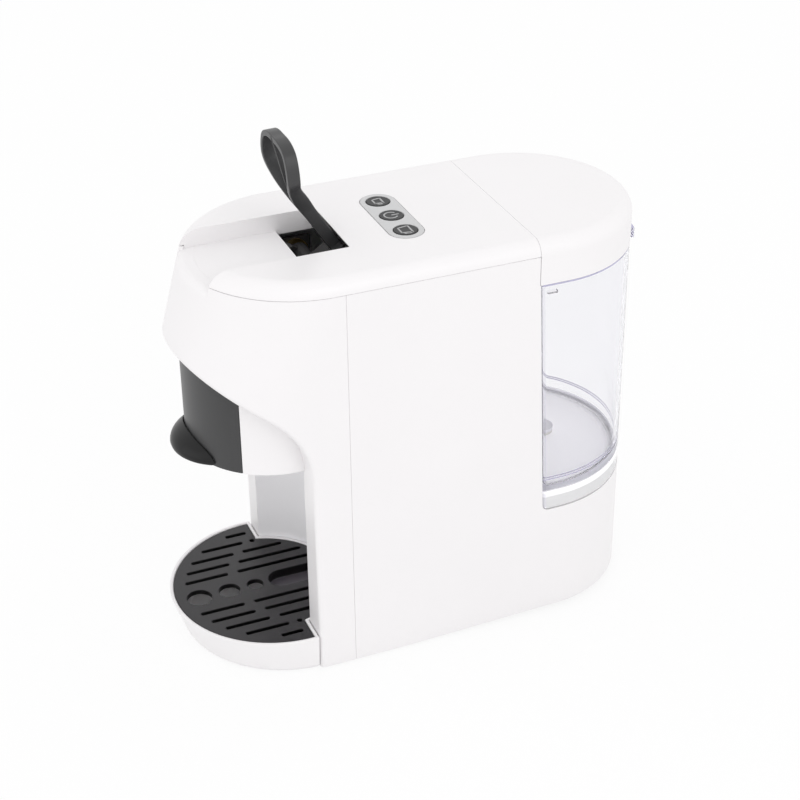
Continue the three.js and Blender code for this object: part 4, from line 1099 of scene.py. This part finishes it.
def camera():
    data = bpy.data.cameras.new("camera")
    data.sensor_width = SENSOR
    data.lens = LENS
    data.clip_start = 0.01
    data.clip_end = 20.0
    item = bpy.data.objects.new("camera", data)
    bpy.context.scene.collection.objects.link(item)
    yaw, pitch, roll = CAMERA_YAW, CAMERA_PITCH, CAMERA_ROLL
    ahead = Vector((-sin(yaw) * cos(pitch), cos(yaw) * cos(pitch), -sin(pitch)))
    right = Vector((cos(yaw), sin(yaw), 0))
    up = right.cross(ahead)
    right, up = cos(roll) * right + sin(roll) * up, -sin(roll) * right + cos(roll) * up
    turn = Matrix((right, up, -ahead)).transposed()
    item.matrix_world = Matrix.Translation(Vector(CAMERA_PLACE) * MM) @ turn.to_4x4()
    bpy.context.scene.camera = item


def lamp(name, place, size, power, aim=(0.0, 0.0, 0.12)):
    data = bpy.data.lights.new(name, "AREA")
    data.shape = "SQUARE"
    data.size = size
    data.energy = power
    item = bpy.data.objects.new(name, data)
    bpy.context.scene.collection.objects.link(item)
    item.location = place
    item.rotation_mode = "QUATERNION"
    item.rotation_quaternion = (Vector(aim) - Vector(place)).to_track_quat("-Z", "Y")


def seen_rays(nodes, links):
    """A value that is 1 for rays the viewer sees directly, in gloss or through clear plastic."""
    path = nodes.new("ShaderNodeLightPath")
    total = path.outputs["Is Camera Ray"]
    for kind in ("Is Glossy Ray", "Is Transmission Ray"):
        larger = nodes.new("ShaderNodeMath")
        larger.operation = "MAXIMUM"
        links.new(total, larger.inputs[0])
        links.new(path.outputs[kind], larger.inputs[1])
        total = larger.outputs["Value"]
    return total


def surroundings():
    world = bpy.data.worlds.new("studio")
    bpy.context.scene.world = world
    world.use_nodes = True
    nodes, links = world.node_tree.nodes, world.node_tree.links
    soft = nodes["Background"]
    soft.inputs["Color"].default_value = (1.0, 1.0, 1.0, 1.0)
    soft.inputs["Strength"].default_value = AMBIENT
    white = nodes.new("ShaderNodeBackground")
    white.inputs["Color"].default_value = (1.0, 1.0, 1.0, 1.0)
    white.inputs["Strength"].default_value = 1.0
    mix = nodes.new("ShaderNodeMixShader")
    links.new(seen_rays(nodes, links), mix.inputs["Fac"])
    links.new(soft.outputs["Background"], mix.inputs[1])
    links.new(white.outputs["Background"], mix.inputs[2])
    links.new(mix.outputs["Shader"], nodes["World Output"].inputs["Surface"])


def floor():
    bm = bmesh.new()
    bmesh.ops.create_grid(bm, x_segments=1, y_segments=1, size=4.0)
    mesh = bpy.data.meshes.new("floor")
    bm.to_mesh(mesh)
    bm.free()
    item = bpy.data.objects.new("floor", mesh)
    bpy.context.scene.collection.objects.link(item)
    material = bpy.data.materials.new("pale_floor")
    material.use_nodes = True
    nodes, links = material.node_tree.nodes, material.node_tree.links
    shader = nodes["Principled BSDF"]
    shader.inputs["Base Color"].default_value = (0.9, 0.9, 0.9, 1.0)
    shader.inputs["Roughness"].default_value = 0.9
    shader.inputs["Specular IOR Level"].default_value = 0.0
    glow = nodes.new("ShaderNodeEmission")
    glow.inputs["Strength"].default_value = 1.0
    blend = nodes.new("ShaderNodeMixShader")
    faint = nodes.new("ShaderNodeMath")
    faint.operation = "MULTIPLY"
    faint.inputs[1].default_value = FLOOR_GLOW
    links.new(seen_rays(nodes, links), faint.inputs[0])
    links.new(faint.outputs["Value"], blend.inputs["Fac"])
    links.new(shader.outputs["BSDF"], blend.inputs[1])
    links.new(glow.outputs["Emission"], blend.inputs[2])
    links.new(blend.outputs["Shader"], nodes["Material Output"].inputs["Surface"])
    mesh.materials.append(material)


def dress_frame():
    """Give every node of the frame the finish of its slot."""
    for entry in frame["record"]["subparts"]:
        node = frame["nodes"][entry["node"]]
        node.data.materials.clear()
        node.data.materials.append(FINISHES[entry["material_slot"]])
    frame["nodes"]["tank_valve"].data.materials[0] = VALVE_WHITE


camera()
surroundings()
floor()
lamp("key", (1.9, 0.1, 1.5), 1.4, 7.5)
lamp("fill", (0.1, -1.9, 0.45), 1.6, 3.0)
dress_frame()
front_casing()
rear_casing()
column_panel()
top_cover()
tank_lid()
button_pad()
buttons()
drip_tray()
drip_grid()
drawer_front()
lever_strap()
tank_body()

scene = bpy.context.scene
scene.view_settings.view_transform = "Standard"
